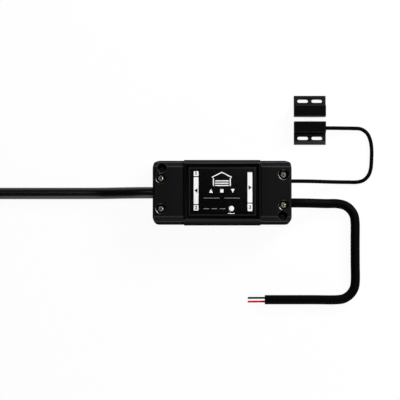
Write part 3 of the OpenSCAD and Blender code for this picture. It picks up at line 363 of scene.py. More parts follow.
sleeveLook = {
    "stripe": (0.4, 0.42),       # where the stripe starts, in diameters from the middle
    "colors": ((0.02, 0.02, 0.028), (0.45, 0.45, 0.43)),
    "grain": 0.7 * mm,
    "roughness": (0.28, 0.4),
    "bump": (0.2, 0.02 * mm),
}


def sleeveFinish(name, node, spec):
    material, tree, shader, place = startMaterial(name)
    low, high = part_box(node)
    middle = tree.nodes.new("ShaderNodeMapping")
    middle.inputs["Location"].default_value = (-(low.x + high.x) / 2, -(low.y + high.y) / 2, 0)
    tree.links.new(place.outputs["Object"], middle.inputs["Vector"])
    split = tree.nodes.new("ShaderNodeSeparateXYZ")
    tree.links.new(middle.outputs["Vector"], split.inputs["Vector"])
    stripeFrom, stripeTo = ((high.y - low.y) * share for share in spec["stripe"])
    stripe = mapRange(tree, split.outputs["Y"], 0, 1, stripeFrom, stripeTo)
    paint = mixColor(tree, stripe, *spec["colors"])
    grain = noiseNode(tree, place.outputs["Object"], spec["grain"])
    coat(tree, shader, paint, mapRange(tree, grain, *spec["roughness"]))
    bumpFrom(tree, shader, grain, *spec["bump"])
    return material


glassLook = {
    "ripple": 2 * mm,
    "colors": ((0.72, 0.86, 0.78), (0.66, 0.82, 0.73)),
    "roughness": (0.03, 0.08),
    "clear": 0.85,
    "ior": 1.5,
    "bump": (0.1, 0.02 * mm),
}


def glassFinish(spec):
    material, tree, shader, place = startMaterial("reedGlass")
    ripple = noiseNode(tree, place.outputs["Object"], spec["ripple"])
    paint = mixColor(tree, mapRange(tree, ripple, 0, 1), *spec["colors"])
    coat(tree, shader, paint, mapRange(tree, ripple, *spec["roughness"]))
    shader.inputs["Transmission Weight"].default_value = spec["clear"]
    shader.inputs["IOR"].default_value = spec["ior"]
    bumpFrom(tree, shader, ripple, *spec["bump"])
    return material


finishes["boardGreen"] = boardFinish(boardLook)
finishes["windingTape"] = tapeFinish(tapeLook)
finishes["reedGlass"] = glassFinish(glassLook)
print("finishes made:", len(finishes))


# Cables. A route is a list of points in millimetres, from inside the case outwards. Each cable has steps, the
# number of rings from one of these points to the next, and sides, the number of points on a ring.
cordCrease = 50  # degrees at which the shading breaks, at a cable's cut ends


def cordSkinTree():
    tree = newTree("cordSkin", (("Radius", "NodeSocketFloat"), ("Sides", "NodeSocketInt"),
                                ("Jacket", "NodeSocketMaterial")))
    add = tree.nodes.new
    given, result = add("NodeGroupInput"), add("NodeGroupOutput")
    line = add("GeometryNodeMeshToCurve")
    ring = add("GeometryNodeCurvePrimitiveCircle")
    skin = add("GeometryNodeCurveToMesh")
    skin.inputs["Fill Caps"].default_value = True
    along, around = add("GeometryNodeSplineParameter"), add("GeometryNodeSplineParameter")
    keepAlong, keepAround = add("GeometryNodeStoreNamedAttribute"), add("GeometryNodeStoreNamedAttribute")
    keepAlong.inputs["Name"].default_value = "runAlong"
    keepAround.inputs["Name"].default_value = "runAround"
    readAlong, readAround = add("GeometryNodeInputNamedAttribute"), add("GeometryNodeInputNamedAttribute")
    readAlong.inputs["Name"].default_value = "runAlong"
    readAround.inputs["Name"].default_value = "runAround"
    both = add("ShaderNodeCombineXYZ")
    keepRun = add("GeometryNodeStoreNamedAttribute")
    keepRun.data_type = "FLOAT_VECTOR"
    keepRun.inputs["Name"].default_value = "jacketRun"
    smooth = add("GeometryNodeSetShadeSmooth")
    realize = add("GeometryNodeRealizeInstances")
    paint = add("GeometryNodeSetMaterial")
    wire(tree,
         (given, "Geometry", line, "Mesh"),
         (line, "Curve", keepAlong, "Geometry"),
         (along, "Length", keepAlong, "Value"),
         (given, "Sides", ring, "Resolution"),
         (given, "Radius", ring, "Radius"),
         (ring, "Curve", keepAround, "Geometry"),
         (around, "Length", keepAround, "Value"),
         (keepAlong, "Geometry", skin, "Curve"),
         (keepAround, "Geometry", skin, "Profile Curve"),
         (readAlong, "Attribute", both, "X"),
         (readAround, "Attribute", both, "Y"),
         (skin, "Mesh", keepRun, "Geometry"),
         (both, "Vector", keepRun, "Value"),
         (keepRun, "Geometry", smooth, "Geometry"),
         (smooth, "Geometry", realize, "Geometry"),
         (realize, "Geometry", paint, "Geometry"),
         (given, "Jacket", paint, "Material"),
         (paint, "Geometry", result, "Geometry"))
    return tree


def smoothRoute(points, steps):
    path = [Vector(p) * mm for p in points]
    ends = [path[0] * 2 - path[1]] + path + [path[-1] * 2 - path[-2]]
    line = []
    for a, b, c, d in zip(ends, ends[1:], ends[2:], ends[3:]):
        for i in range(steps):
            t = i / steps
            line.append(((b * 2) + (c - a) * t + (a * 2 - b * 5 + c * 4 - d) * t * t
                         + (b * 3 - a - c * 3 + d) * t * t * t) / 2)
    return line + [path[-1]]


def makeCord(name, path, spec, jacket):
    mesh = bpy.data.meshes.new(name + "Line")
    mesh.from_pydata(path, [(i, i + 1) for i in range(len(path) - 1)], [])
    source = addObject(name + "Line", mesh)
    runTree(cordSkin, source, {"Radius": spec["diameter"] / 2, "Sides": spec["sides"], "Jacket": jacket})
    mesh = bakedMesh(source, name)
    mesh.set_sharp_from_angle(angle=math.radians(cordCrease))
    return addObject(name, mesh)


cordSkin = cordSkinTree()

mainsLead = {
    "diameter": 7.6 * mm,
    "exit": (-0.0455, 0, 0.011),
    "points": [(-38, 0, 11), (-50, 0, 11), (-56, 0, 10.5), (-62, 0, 9.2), (-68, 0, 7.5), (-74, 0, 5.7),
               (-80, 0, 4.4), (-86, 0, 3.9), (-100, 0, 3.8), (-120, 0, 3.8), (-140, 0, 3.8), (-160, 0, 3.8),
               (-172, 0, 4), (-184, 0, 4.6), (-192, 0, 4.9), (-200, 0, 4.9)],
    "steps": 6,
    "sides": 20,
    "coilMiddle": (-207.6, -50.65),
    "coilStart": 90,          # degrees around that middle
    "coilRadius": 30.4,       # of its tightest turn
    "coilPitch": 8.1,
    "coilHeight": 4.9,        # of the lower layer's centre line
    "turnsIn": 2.5,
    "turnsOut": 2.5,
    "climb": 0.5,             # turns that the step to the upper layer takes
    "ringsPerTurn": 72,
    "runSteps": 8,            # rings from the coil to the bend
    "bend": 36,               # radius of the bend from the coil to the plug
    "bendSteps": 24,
    "plug": (-276.05, -43.6, 9),
}


def coilPoint(spec, turns):
    past = turns - spec["turnsIn"]
    radius = spec["coilRadius"] + spec["coilPitch"] * abs(past)
    angle = math.radians(spec["coilStart"] + 360 * turns)
    climbed = min(max(past / spec["climb"] + 1 / 2, 0), 1)  # half of the step lies before the tightest turn
    return Vector((spec["coilMiddle"][0] + radius * math.cos(angle),
                   spec["coilMiddle"][1] + radius * math.sin(angle),
                   spec["coilHeight"] + spec["coilPitch"] * climbed)) * mm


def leadRoute(spec):
    total = spec["turnsIn"] + spec["turnsOut"]
    count = round(total * spec["ringsPerTurn"])
    path = smoothRoute(spec["points"], spec["steps"])
    path += [coilPoint(spec, i / spec["ringsPerTurn"]) for i in range(count + 1)]
    last = path[-1] / mm
    plug = Vector(spec["plug"])
    start = plug.x + spec["bend"]
    for i in range(1, spec["runSteps"]):
        path.append(Vector((last.x + (start - last.x) * i / spec["runSteps"], 0, last.z)) * mm)
    for i in range(spec["bendSteps"] + 1):
        share = i / spec["bendSteps"]
        turn = math.pi / 2 * share
        x = plug.x + spec["bend"] * (1 - math.sin(turn))
        y = spec["bend"] * (math.cos(turn) - 1)
        z = plug.z + (last.z - plug.z) * (1 + math.cos(math.pi * share)) / 2
        path.append(Vector((x, y, z)) * mm)
    return path + [plug * mm]


sensorLead = {
    "diameter": 2.5 * mm,
    "exit": (0.0455, 0.0076, 0.011),
    "points": [(42.8, 7.6, 11), (48, 7.6, 11), (54, 7.6, 10.6), (60, 7.6, 9), (66, 7.6, 6.4), (72, 7.6, 3.8),
               (78, 7.6, 2), (83, 7.6, 1.3), (88.6, 7.6, 1.3), (93.1, 8.8, 1.3), (96.4, 12, 1.3),
               (98, 16.5, 1.3), (98.5, 22.5, 1.3), (98.6, 29.4, 1.3), (97.8, 35.1, 1.3), (95.6, 39.9, 1.3),
               (91.5, 42.7, 1.4), (86, 43.1, 1.8), (80, 43.1, 2.8), (74, 43.1, 3.8), (70, 43.1, 4),
               (66.85, 43.1, 4)],
    "steps": 5,
    "sides": 16,
}

triggerCable = {
    "diameter": 6.1 * mm,
    "exit": (0.0455, -0.0067, 0.011),
    "points": [(42.8, -6.7, 11), (49, -6.7, 11), (54, -6.7, 10.3), (59, -6.7, 8.5), (64, -6.7, 6.1),
               (69, -6.7, 4.1), (75.7, -6.7, 3.1), (81.6, -8.3, 3.1), (85.8, -12.5, 3.1), (87.4, -18.4, 3.1),
               (87.4, -32, 3.1), (87.4, -45, 3.1), (87.4, -58.2, 3.1), (85.8, -64, 3.1), (81.6, -68.2, 3.1),
               (75.7, -69.8, 3.1), (60, -69.8, 3.1), (44, -69.8, 3.1), (28, -69.8, 3.1)],
    "steps": 6,
    "sides": 20,
}

# The two wires at that cable's end, and the copper at their tips. Points are places along X, and heights.
triggerWire = {
    "diameter": 1.3 * mm,
    "points": [(28, 3.1), (26, 3.1), (24, 2.8), (21.5, 1.9), (19, 1), (17, 0.7)],
    "steps": 5,
    "sides": 14,
    "blackSide": -68.6,  # the place of each wire along Y
    "redSide": -71,
}
triggerCore = {
    "diameter": 0.6 * mm,
    "points": [(17.6, 0.7), (16.75, 0.7)],
    "steps": 2,
    "sides": 10,
}


def routeLength(path):
    return sum((b - a).length for a, b in zip(path, path[1:]))


leadPath = leadRoute(mainsLead)
leadPiece = makeCord("mains_lead_jacket", leadPath, mainsLead, finishes["leadJacket"])
sensorPath = smoothRoute(sensorLead["points"], sensorLead["steps"])
sensorPiece = makeCord("sensor_lead_jacket", sensorPath, sensorLead, finishes["cableJacket"])
triggerPath = smoothRoute(triggerCable["points"], triggerCable["steps"])
triggerPiece = makeCord("trigger_cable_jacket", triggerPath, triggerCable, finishes["cableJacket"])
wirePieces = []
corePieces = []
for wireName, side, jacket in (("trigger_wire_black", triggerWire["blackSide"], finishes["wireBlack"]),
                               ("trigger_wire_red", triggerWire["redSide"], finishes["wireRed"])):
    wirePath = smoothRoute([(x, side, z) for x, z in triggerWire["points"]], triggerWire["steps"])
    wirePieces.append(makeCord(wireName + "_skin", wirePath, triggerWire, jacket))
    corePath = smoothRoute([(x, side, z) for x, z in triggerCore["points"]], triggerCore["steps"])
    corePieces.append(makeCord(wireName + "_core", corePath, triggerCore, finishes["copperStrand"]))

for piece in (leadPiece, sensorPiece, triggerPiece, *wirePieces):
    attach(piece, "case")
for piece in corePieces:
    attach(piece, "case")
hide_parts("mains_lead", "mains_lead_coil")
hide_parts("sensor_lead")
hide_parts("trigger_cable")
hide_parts("trigger_wire_black")
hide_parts("trigger_wire_red")
print("cables made:", round(routeLength(leadPath), 3), round(routeLength(sensorPath), 3),
      round(routeLength(triggerPath), 3))


# Cover screws. The edges and faces around their seats are chosen by these places, so they come first.
coverScrews = {
    "seats": [(39.9, 11.1), (39.9, -8.7), (-39.9, -11.1), (-39.9, 8.7)],
    "seatHeight": 20.2,
    "turns": [18, 64, 5, 41],    # degrees that each screw was driven to
    "headRadius": 1.9,
    "headHeight": 1.5,
    "rim": 0.45,                 # straight part of the head under its dome
    "rimEdge": 0.1,              # chamfer below that part
    "domeSteps": 8,
    "shankRadius": 1.25,
    "shankLength": 15,
    "tip": (0.4, 1.4),           # width as a share of the shank's, and length
    "sides": 40,
    "crossReach": 1.25,          # of the recess in the head
    "crossHalf": 0.4,            # half the width of its slots
    "crossDepth": 1.1,
    "crossFoot": (0.5, 0.6),     # what is left of reach and width at its bottom
    "crossOver": 0.3,            # how far the cutter stands out of the head
    "crossNear": 0.1,            # distance from the recess within which a face takes painted shade
    "crossWall": 0.7,            # walls that look up by less than this take painted shade
    "crease": 38,
}


# Moulded pieces: copies of the CAD solids, with their outer edges rounded and marked for a painted highlight.
rounding = {
    "leastAngle": 25,        # degrees between two faces whose edge is rounded
    "segments": 2,
    "merge": 0.001 * mm,     # points nearer than this become one
    "flat": 0.4,             # degrees within which faces count as one flat face
    "sliver": 0.0005 * mm,   # edges shorter than this are taken out
    "crease": 32,            # degrees at which the shading breaks
    "lift": 0.02 * mm,       # where a look outwards from an edge starts
    "sight": 0.05,           # how far that look goes
    "highlightUp": 0.25,            # edges that look up by more than this get the painted highlight
}
seam = {
    "height": 11,            # where the covers meet the base, in millimetres
    "near": 0.02,            # points within this of that height are on the seam
    "gap": 0.15,             # hairline that is left open there
    "covers": ("centre_cover", "end_cover_left", "end_cover_right"),
}


def outerEdges(bm, chosen):
    tree = BVHTree.FromBMesh(bm)
    found = []
    for edge in bm.edges:
        if len(edge.link_faces) != 2 or not edge.is_convex:
            continue
        if edge.calc_face_angle() < math.radians(rounding["leastAngle"]):
            continue
        middle = (edge.verts[0].co + edge.verts[1].co) / 2
        outward = (edge.link_faces[0].normal + edge.link_faces[1].normal).normalized()
        if not chosen(middle / mm, outward):
            continue
        if tree.ray_cast(middle + outward * rounding["lift"], outward, rounding["sight"])[0] is None:
            found.append(edge)
    return found


def openSeam(bm):
    for vert in bm.verts:
        if abs(vert.co.z / mm - seam["height"]) < seam["near"]:
            vert.co.z += seam["gap"] * mm


def softenedCopy(node, name, width, chosen):
    bm = bmesh.new()
    bm.from_mesh(nodes[node].data)
    bmesh.ops.remove_doubles(bm, verts=bm.verts, dist=rounding["merge"])
    bmesh.ops.dissolve_limit(bm, angle_limit=math.radians(rounding["flat"]), verts=bm.verts, edges=bm.edges)
    bm.normal_update()
    highlightMask = bm.faces.layers.float.new("edgeHighlight")
    rounded = bmesh.ops.bevel(bm, geom=outerEdges(bm, chosen), offset=width, offset_type="OFFSET",
                              segments=rounding["segments"], profile=0.5, affect="EDGES",
                              clamp_overlap=False, material=-1)
    for face in rounded["faces"]:
        if face.normal.z > rounding["highlightUp"]:
            face[highlightMask] = abs(face.normal.y)  # painted highlight, strongest on the long upper edges, which face the bright sides along Y
    if node in seam["covers"]:
        openSeam(bm)
    bmesh.ops.remove_doubles(bm, verts=bm.verts, dist=rounding["sliver"])
    bmesh.ops.dissolve_degenerate(bm, edges=bm.edges, dist=rounding["sliver"])
    bmesh.ops.holes_fill(bm, edges=[e for e in bm.edges if e.is_boundary], sides=0)
    bmesh.ops.triangulate(bm, faces=[f for f in bm.faces if len(f.verts) > 4])
    source = addObject(name + "Source", meshFrom(bm, name, rounding["crease"]))
    even = source.modifiers.new("even", "WEIGHTED_NORMAL")  # flat faces shade flat beside their rounded edges
    even.mode = "FACE_AREA_WITH_ANGLE"
    even.weight = 100
    even.keep_sharp = True
    return addObject(name, bakedMesh(source, name))


def paintFaces(piece, material, chosen):
    piece.data.materials.append(material)
    index = len(piece.data.materials) - 1
    for face in piece.data.polygons:
        if chosen(face.center / mm, face.normal):
            face.material_index = index


# Which edges of a piece to round, from an edge's middle in millimetres and the way it faces.
edgeZones = {
    "screwClear": 4,       # distance from a screw within which edges stay sharp
    "outsideX": 45.1,      # edges farther out than these are on the outside of the case
    "outsideY": 20.6,
    "down": -0.3,          # edges that look down by more than this stay sharp
    "overSeam": 11.4,
    "baseFoot": 1.9,
}


def anyEdge(at, facing):
    return True


def coverEdge(at, facing):
    atScrew = any(math.dist(at.xy, seat) < edgeZones["screwClear"] for seat in coverScrews["seats"])
    outside = abs(at.y) > edgeZones["outsideY"] or abs(at.x) > edgeZones["outsideX"]
    return facing.z > edgeZones["down"] and not atScrew and (at.z > edgeZones["overSeam"] or outside)


def baseEdge(at, facing):
    return at.z < edgeZones["baseFoot"]


mouldings = {  # node: width of its rounded edges in millimetres, which edges, paint, slot, body
    "base_shell": (0.35, baseEdge, "caseBlack", "case_black", "case"),
    "centre_cover": (0.35, coverEdge, "caseBlack", "case_black", "case"),
    "end_cover_left": (0.45, coverEdge, "caseBlack", "case_black", "case"),
    "end_cover_right": (0.45, coverEdge, "caseBlack", "case_black", "case"),
    "label_panel": (0.1, anyEdge, "labelGloss", "label_gloss", "case"),
    "pairing_button": (0.15, anyEdge, "buttonWhite", "button_white", "button"),
    "reed_housing": (0.2, anyEdge, "contactBlack", "contact_black", "case"),
    "magnet_housing": (0.2, anyEdge, "contactBlack", "contact_black", "magnet_half"),
    "plug_body": (0.4, anyEdge, "plugBlack", "plug_black", "case"),
    "plug_blades": (0.2, anyEdge, "bladeBrass", "blade_brass", "case"),
    "coil_tie": (0.25, anyEdge, "tieBlack", "tie_black", "case"),
}
moulded = {}
for node, (width, chosen, paint, slot, body) in mouldings.items():
    piece = softenedCopy(node, node + "_skin", width * mm, chosen)
    setPaint(piece, finishes[paint])
    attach(piece, body)
    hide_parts(node)
    moulded[node] = piece


# Faces that take a finish of their own, from a face's middle in millimetres and the way it faces.
faceZones = {
    "recessHalf": (24, 17.9),                 # half the length and width of the sunk place for the label
    "recessHeights": (23, 24.95),
    "recessUp": 0.2,
    "flangeTop": 2.7,                         # the contact's flanges are duller than its blocks
    "lipFront": -0.15,                        # the slope along the reed flange's edge looks this way along Y
    "lipUp": 0.5,
    "sideUp": (-0.3, 0.4),                    # the case's outer walls are duller than its upper faces
    "tubes": ((-39.3, 15.6), (39.3, -15.6)),  # the ways to the wall-mount holes
    "tubeRadius": 3.05,
    "tubeHeights": (0.1, 22),
    "mouthRadii": (2.7, 3.65),                # the slopes around the screws are polished
    "mouthUp": (0.5, 0.95),
}


def within(value, limits):
    return limits[0] < value < limits[1]


# Painted shade: the floor and slopes of the label's sunk place are painted darker than the case.
def inRecess(at, facing):
    length, width = faceZones["recessHalf"]
    inside = abs(at.x) < length and abs(at.y) < width and within(at.z, faceZones["recessHeights"])
    return inside and facing.z > faceZones["recessUp"]


def onFlange(at, facing):
    return at.z < faceZones["flangeTop"]


# Painted highlight: the slope along a flange's edge that looks towards -Y is painted paler than the flange.
def onLip(at, facing):
    return onFlange(at, facing) and facing.y < faceZones["lipFront"] and facing.z > faceZones["lipUp"]


def onSide(at, facing):
    return within(facing.z, faceZones["sideUp"])


# Painted light: the walls of the ways to the wall-mount holes are painted paler than the case, so the deep
# holes look less dark.
def inTube(at, facing):
    inside = any(math.dist(at.xy, tube) < faceZones["tubeRadius"] for tube in faceZones["tubes"])
    return inside and within(at.z, faceZones["tubeHeights"])


def atMouth(at, facing):
    around = any(within(math.dist(at.xy, seat), faceZones["mouthRadii"]) for seat in coverScrews["seats"])
    return around and within(facing.z, faceZones["mouthUp"])


endCovers = ("end_cover_left", "end_cover_right")
caseShells = ("base_shell", "centre_cover", *endCovers)
contactHalves = ("reed_housing", "magnet_housing")
facePaints = [  # a later one covers an earlier one
    ("sideBlack", onSide, caseShells),
    ("tubePaintedLight", inTube, caseShells),
    ("recessPaintedShade", inRecess, ("centre_cover",)),
    ("flangeBlack", onFlange, contactHalves),
    ("lipPaintedHighlight", onLip, contactHalves),
    ("mouthBlack", atMouth, endCovers),
]
for paint, chosen, painted in facePaints:
    for node in painted:
        paintFaces(moulded[node], finishes[paint], chosen)
print("mouldings made:", len(moulded))


# Label print: thin layers of ink on the label, with plain marks only. The grey line along the label's edge is
# a painted highlight on its rim.
labelPrint = {
    "top": 23.8,                 # height of the label's face in millimetres
    "ink": 0.02,                 # thickness of a layer of ink
    "corner": 0.35,
    "frame": (43.6, 31.4, 0.9),  # outer length and width of the line along the label's edge, and its width
    "frameCorners": (0.2, 0.1),  # of its long and its short sides
    "bars": [(-18.6, -15.5, 10.0, 13.2), (-18.6, -15.5, -8.2, 9.3), (-18.6, -15.5, -12.4, -8.8),
             (16.4, 19.5, -7.3, 12.5), (16.4, 19.5, -12.8, -7.9)],  # left, right, lower and upper sides
    "arrows": [(-17.05, 0.6, -1), (17.95, 2.6, 1)],  # on the long bars, and the way that each points
    "arrowShape": (1.1, 0.9, 1.6),    # reach of its tip and its back, and half its width
    "numbers": [("1", -17.1, 11.7), ("2", -17.1, -10.6), ("3", 18, -10.4)],
    "numberSize": 3.375,
    "numberBold": 0.09,
    "house": (-0.3, 8.2, 13.0, 9.2),  # middle, width and height of the garage sign
    "eaves": 0.15,                    # their height over its middle, as a share of the height
    "stroke": 0.7,
    "strokeCorner": 0.1,
    "slats": 3,
    "slatsBelow": 2.2,                # strokes from the eaves down to the slats
    "slatsInset": 3,                  # strokes from the sign's sides to the slats
    "signs": [("up", -7.4), ("stop", -0.3), ("down", 6.8)],  # and their places along the label
    "signRow": 0.4,
    "signSize": 2.5,
    "stopShare": 0.85,                # size of the square beside the triangles
    "stopCorner": 0.25,
    "rules": [(3.6, 8.0, -14.3, 0.4)],  # left, right, height and width of thin lines
    "silverRules": [(-12.2, -1.8, -4.3, 0.4), (1.2, 11.6, -4.3, 0.4), (-12.2, -8.6, -11.2, 0.5),
                    (-6.9, -3.3, -11.2, 0.5), (-1.6, 2.0, -11.2, 0.5)],
    "ruleCorner": 0.45,               # as a share of the line's width
    "merge": 0.001 * mm,
}


def prism(bm, outline, low, high):
    bottom = [bm.verts.new((x * mm, y * mm, low * mm)) for x, y in outline]
    top = [bm.verts.new((x * mm, y * mm, high * mm)) for x, y in outline]
    bm.faces.new(top)
    bm.faces.new(bottom[::-1])
    for i in range(len(outline)):
        j = (i + 1) % len(outline)
        bm.faces.new((bottom[i], bottom[j], top[j], top[i]))


def roundedBox(left, right, low, high, radius, steps=5):
    corners = ((right - radius, high - radius, 0), (left + radius, high - radius, 90),
               (left + radius, low + radius, 180), (right - radius, low + radius, 270))
    outline = []
    for x, y, start in corners:
        for i in range(steps + 1):
            a = math.radians(start + 90 * i / steps)
            outline.append((x + radius * math.cos(a), y + radius * math.sin(a)))
    return outline


def houseSign(bm, spec, low, high):
    x, y, width, height = spec["house"]
    stroke, corner = spec["stroke"], spec["strokeCorner"]
    eaves, ridge = y + height * spec["eaves"], y + height / 2
    left, right, foot = x - width / 2, x + width / 2, y - height / 2
    roof = [(left, eaves), (left, eaves - stroke), (x, ridge - stroke), (right, eaves - stroke),
            (right, eaves), (x, ridge)]
    prism(bm, roof, low, high)
    for side in (left + stroke, right - 2 * stroke):
        prism(bm, roundedBox(side, side + stroke, foot, eaves - stroke, corner), low, high)
    inset = spec["slatsInset"] * stroke
    pitch = (eaves - spec["slatsBelow"] * stroke - foot) / spec["slats"]
    for i in range(spec["slats"]):
        level = foot + pitch * i
        prism(bm, roundedBox(left + inset, right - inset, level, level + stroke, corner), low, high)


def plainSigns(bm, spec, low, high):
    half, row = spec["signSize"] / 2, spec["signRow"]
    square = half * spec["stopShare"]
    outlines = {
        "up": [(-half, -half), (half, -half), (0, half)],
        "stop": roundedBox(-square, square, -square, square, spec["stopCorner"]),
        "down": [(-half, half), (0, -half), (half, half)],
    }
    for sign, x in spec["signs"]:
        prism(bm, [(x + dx, row + dy) for dx, dy in outlines[sign]], low, high)


def thinRules(bm, rules, corner, low, high):
    for left, right, level, width in rules:
        prism(bm, roundedBox(left, right, level - width / 2, level + width / 2, width * corner), low, high)


def barArrows(bm, spec, low, high):
    tip, back, half = spec["arrowShape"]
    for x, y, way in spec["arrows"]:
        prism(bm, [(x + way * tip, y), (x - way * back, y + half), (x - way * back, y - half)], low, high)


# Painted highlight: a thin grey line along the label's edge, for the light on its rim.
def edgeFrame(bm, spec, low, high):
    length, width, line = spec["frame"]
    longCorner, shortCorner = spec["frameCorners"]
    for side in (-1, 1):
        y = side * (width - line) / 2
        prism(bm, roundedBox(-length / 2, length / 2, y - line / 2, y + line / 2, longCorner), low, high)
        x = side * (length - line) / 2
        end = width / 2 - line
        prism(bm, roundedBox(x - line / 2, x + line / 2, -end, end, shortCorner), low, high)


def numberMesh(digit, x, y, spec, low):
    curve = bpy.data.curves.new("number" + digit, "FONT")
    curve.body = digit
    curve.size = spec["numberSize"] * mm
    curve.align_x = "CENTER"
    curve.align_y = "CENTER"
    curve.extrude = spec["ink"] / 2 * mm
    curve.offset = spec["numberBold"] * mm
    source = addObject("number" + digit, curve)
    mesh = bakedMesh(source, "number" + digit)
    mesh.transform(Matrix.Translation((x * mm, y * mm, (low + spec["ink"] / 2) * mm)))
    return mesh


def makeLabelPrint(spec):
    face, ink = spec["top"], spec["ink"]
    layer = (face, face + ink)
    upperLayer = (face + ink, face + 2 * ink)  # black on the white bars
    white, silver, grey, black = bmesh.new(), bmesh.new(), bmesh.new(), bmesh.new()
    for left, right, low, high in spec["bars"]:
        prism(white, roundedBox(left, right, low, high, spec["corner"]), *layer)
    houseSign(white, spec, *layer)
    plainSigns(white, spec, *layer)
    thinRules(white, spec["rules"], spec["ruleCorner"], *layer)
    thinRules(silver, spec["silverRules"], spec["ruleCorner"], *layer)
    edgeFrame(grey, spec, *layer)
    barArrows(black, spec, *upperLayer)
    for digit, x, y in spec["numbers"]:
        black.from_mesh(numberMesh(digit, x, y, spec, face + ink))
    prints = [(white, "label_print_white", "inkWhite"), (silver, "label_print_silver", "inkSilver"),
              (grey, "label_print_frame", "labelRimHighlight"), (black, "label_print_numbers", "inkBlack")]
    for bm, name, paint in prints:
        bmesh.ops.remove_doubles(bm, verts=bm.verts, dist=spec["merge"])
        bmesh.ops.recalc_face_normals(bm, faces=bm.faces)
        piece = addObject(name, meshFrom(bm, name))
        setPaint(piece, finishes[paint])
        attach(piece, "case")


makeLabelPrint(labelPrint)
print("label printed")


# Cover screws: one pan head with a cross recess, set on each seat.
def lathe(bm, profile, sides):
    rings = []
    for radius, height in profile:
        count = sides if radius > 0 else 1
        rings.append([bm.verts.new((radius * math.cos(2 * math.pi * k / sides) * mm,
                                    radius * math.sin(2 * math.pi * k / sides) * mm, height * mm))
                      for k in range(count)])
    for low, high in zip(rings, rings[1:]):
        for k in range(sides):
            corners = [low[k % len(low)], low[(k + 1) % len(low)],
                       high[(k + 1) % len(high)], high[k % len(high)]]
            corners = list(dict.fromkeys(corners))  # a point on the axis counts once
            if len(corners) > 2:
                bm.faces.new(corners)


def crossOutline(reach, half):
    outline = []
    for turn in range(4):
        a = math.pi / 2 * turn
        for x, y in ((half, -half), (reach, -half), (reach, half)):
            outline.append((x * math.cos(a) - y * math.sin(a), x * math.sin(a) + y * math.cos(a)))
    return outline


def crossCutter(spec):
    reach, half = spec["crossReach"], spec["crossHalf"]
    footReach, footHalf = spec["crossFoot"]
    bottom = (spec["headHeight"] - spec["crossDepth"]) * mm
    top = (spec["headHeight"] + spec["crossOver"]) * mm
    bm = bmesh.new()
    foot = crossOutline(reach * footReach, half * footHalf)
    lower = [bm.verts.new((x * mm, y * mm, bottom)) for x, y in foot]
    upper = [bm.verts.new((x * mm, y * mm, top)) for x, y in crossOutline(reach, half)]
    bm.faces.new(lower[::-1])
    bm.faces.new(upper)
    for i in range(len(foot)):
        j = (i + 1) % len(foot)
        bm.faces.new((lower[i], lower[j], upper[j], upper[i]))
    return addObject("screwCutter", meshFrom(bm, "screwCutter"))


def screwShape(spec):
    radius, rim, edge = spec["headRadius"], spec["rim"], spec["rimEdge"]
    shank, length = spec["shankRadius"], spec["shankLength"]
    tipWidth, tipLength = spec["tip"]
    profile = [(0, -length), (shank * tipWidth, -length), (shank, tipLength - length), (shank, 0),
               (radius - edge, 0), (radius, edge), (radius, rim)]
    steps = spec["domeSteps"]
    for i in range(1, steps + 1):
        a = math.pi / 2 * i / steps
        reach = radius * math.cos(a) if i < steps else 0
        profile.append((reach, rim + (spec["headHeight"] - rim) * math.sin(a)))
    bm = bmesh.new()
    lathe(bm, profile, spec["sides"])
    body = addObject("screwBody", meshFrom(bm, "screwBody"))
    cutter = crossCutter(spec)
    slot = body.modifiers.new("cross", "BOOLEAN")
    slot.operation = "DIFFERENCE"
    slot.solver = "EXACT"
    slot.object = cutter
    mesh = bakedMesh(body, "screwShape")
    bpy.data.objects.remove(cutter)
    mesh.shade_smooth()
    mesh.set_sharp_from_angle(angle=math.radians(spec["crease"]))
    return addObject("screwShape", mesh)


def screwRowTree():
    tree = newTree("screwRow", (("Screw", "NodeSocketObject"), ("Plating", "NodeSocketMaterial")))
    add = tree.nodes.new
    given, result = add("NodeGroupInput"), add("NodeGroupOutput")
    shape = add("GeometryNodeObjectInfo")
    driven = add("GeometryNodeInputNamedAttribute")
    driven.inputs["Name"].default_value = "driven"
    upright = add("ShaderNodeCombineXYZ")
    turn = add("FunctionNodeEulerToRotation")
    place = add("GeometryNodeInstanceOnPoints")
    realize = add("GeometryNodeRealizeInstances")
    paint = add("GeometryNodeSetMaterial")
    wire(tree,
         (given, "Screw", shape, "Object"),
         (driven, "Attribute", upright, "Z"),
         (upright, "Vector", turn, "Euler"),
         (given, "Geometry", place, "Points"),
         (shape, "Geometry", place, "Instance"),
         (turn, "Rotation", place, "Rotation"),
         (place, "Instances", realize, "Geometry"),
         (realize, "Geometry", paint, "Geometry"),
         (given, "Plating", paint, "Material"),
         (paint, "Geometry", result, "Geometry"))
    return tree


def makeScrews(spec):
    shape = screwShape(spec)
    mesh = bpy.data.meshes.new("screwSeats")
    mesh.from_pydata([Vector((x, y, spec["seatHeight"])) * mm for x, y in spec["seats"]], [], [])
    driven = mesh.attributes.new("driven", "FLOAT", "POINT")
    for i, degrees in enumerate(spec["turns"]):
        driven.data[i].value = math.radians(degrees)
    source = addObject("screwSeats", mesh)
    runTree(screwRowTree(), source, {"Screw": shape, "Plating": finishes["screwPlated"]})
    piece = addObject("cover_screws_driven", bakedMesh(source, "cover_screws_driven"))
    bpy.data.objects.remove(shape)
    bottom = spec["seatHeight"] + spec["headHeight"] - spec["crossDepth"]
    near = spec["crossNear"]

    # Painted shade: the cross recess in each head is painted dark.
    def inCross(at, facing):
        reached = min(math.dist(at.xy, seat) for seat in spec["seats"]) < spec["crossReach"]
        sunk = facing.z < spec["crossWall"] or at.z < bottom + near
        return reached and at.z > bottom - near and sunk

    paintFaces(piece, finishes["crossPaintedShade"], inCross)
    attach(piece, "case")
    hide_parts("cover_screws")


makeScrews(coverScrews)
print("screws driven:", len(coverScrews["seats"]))


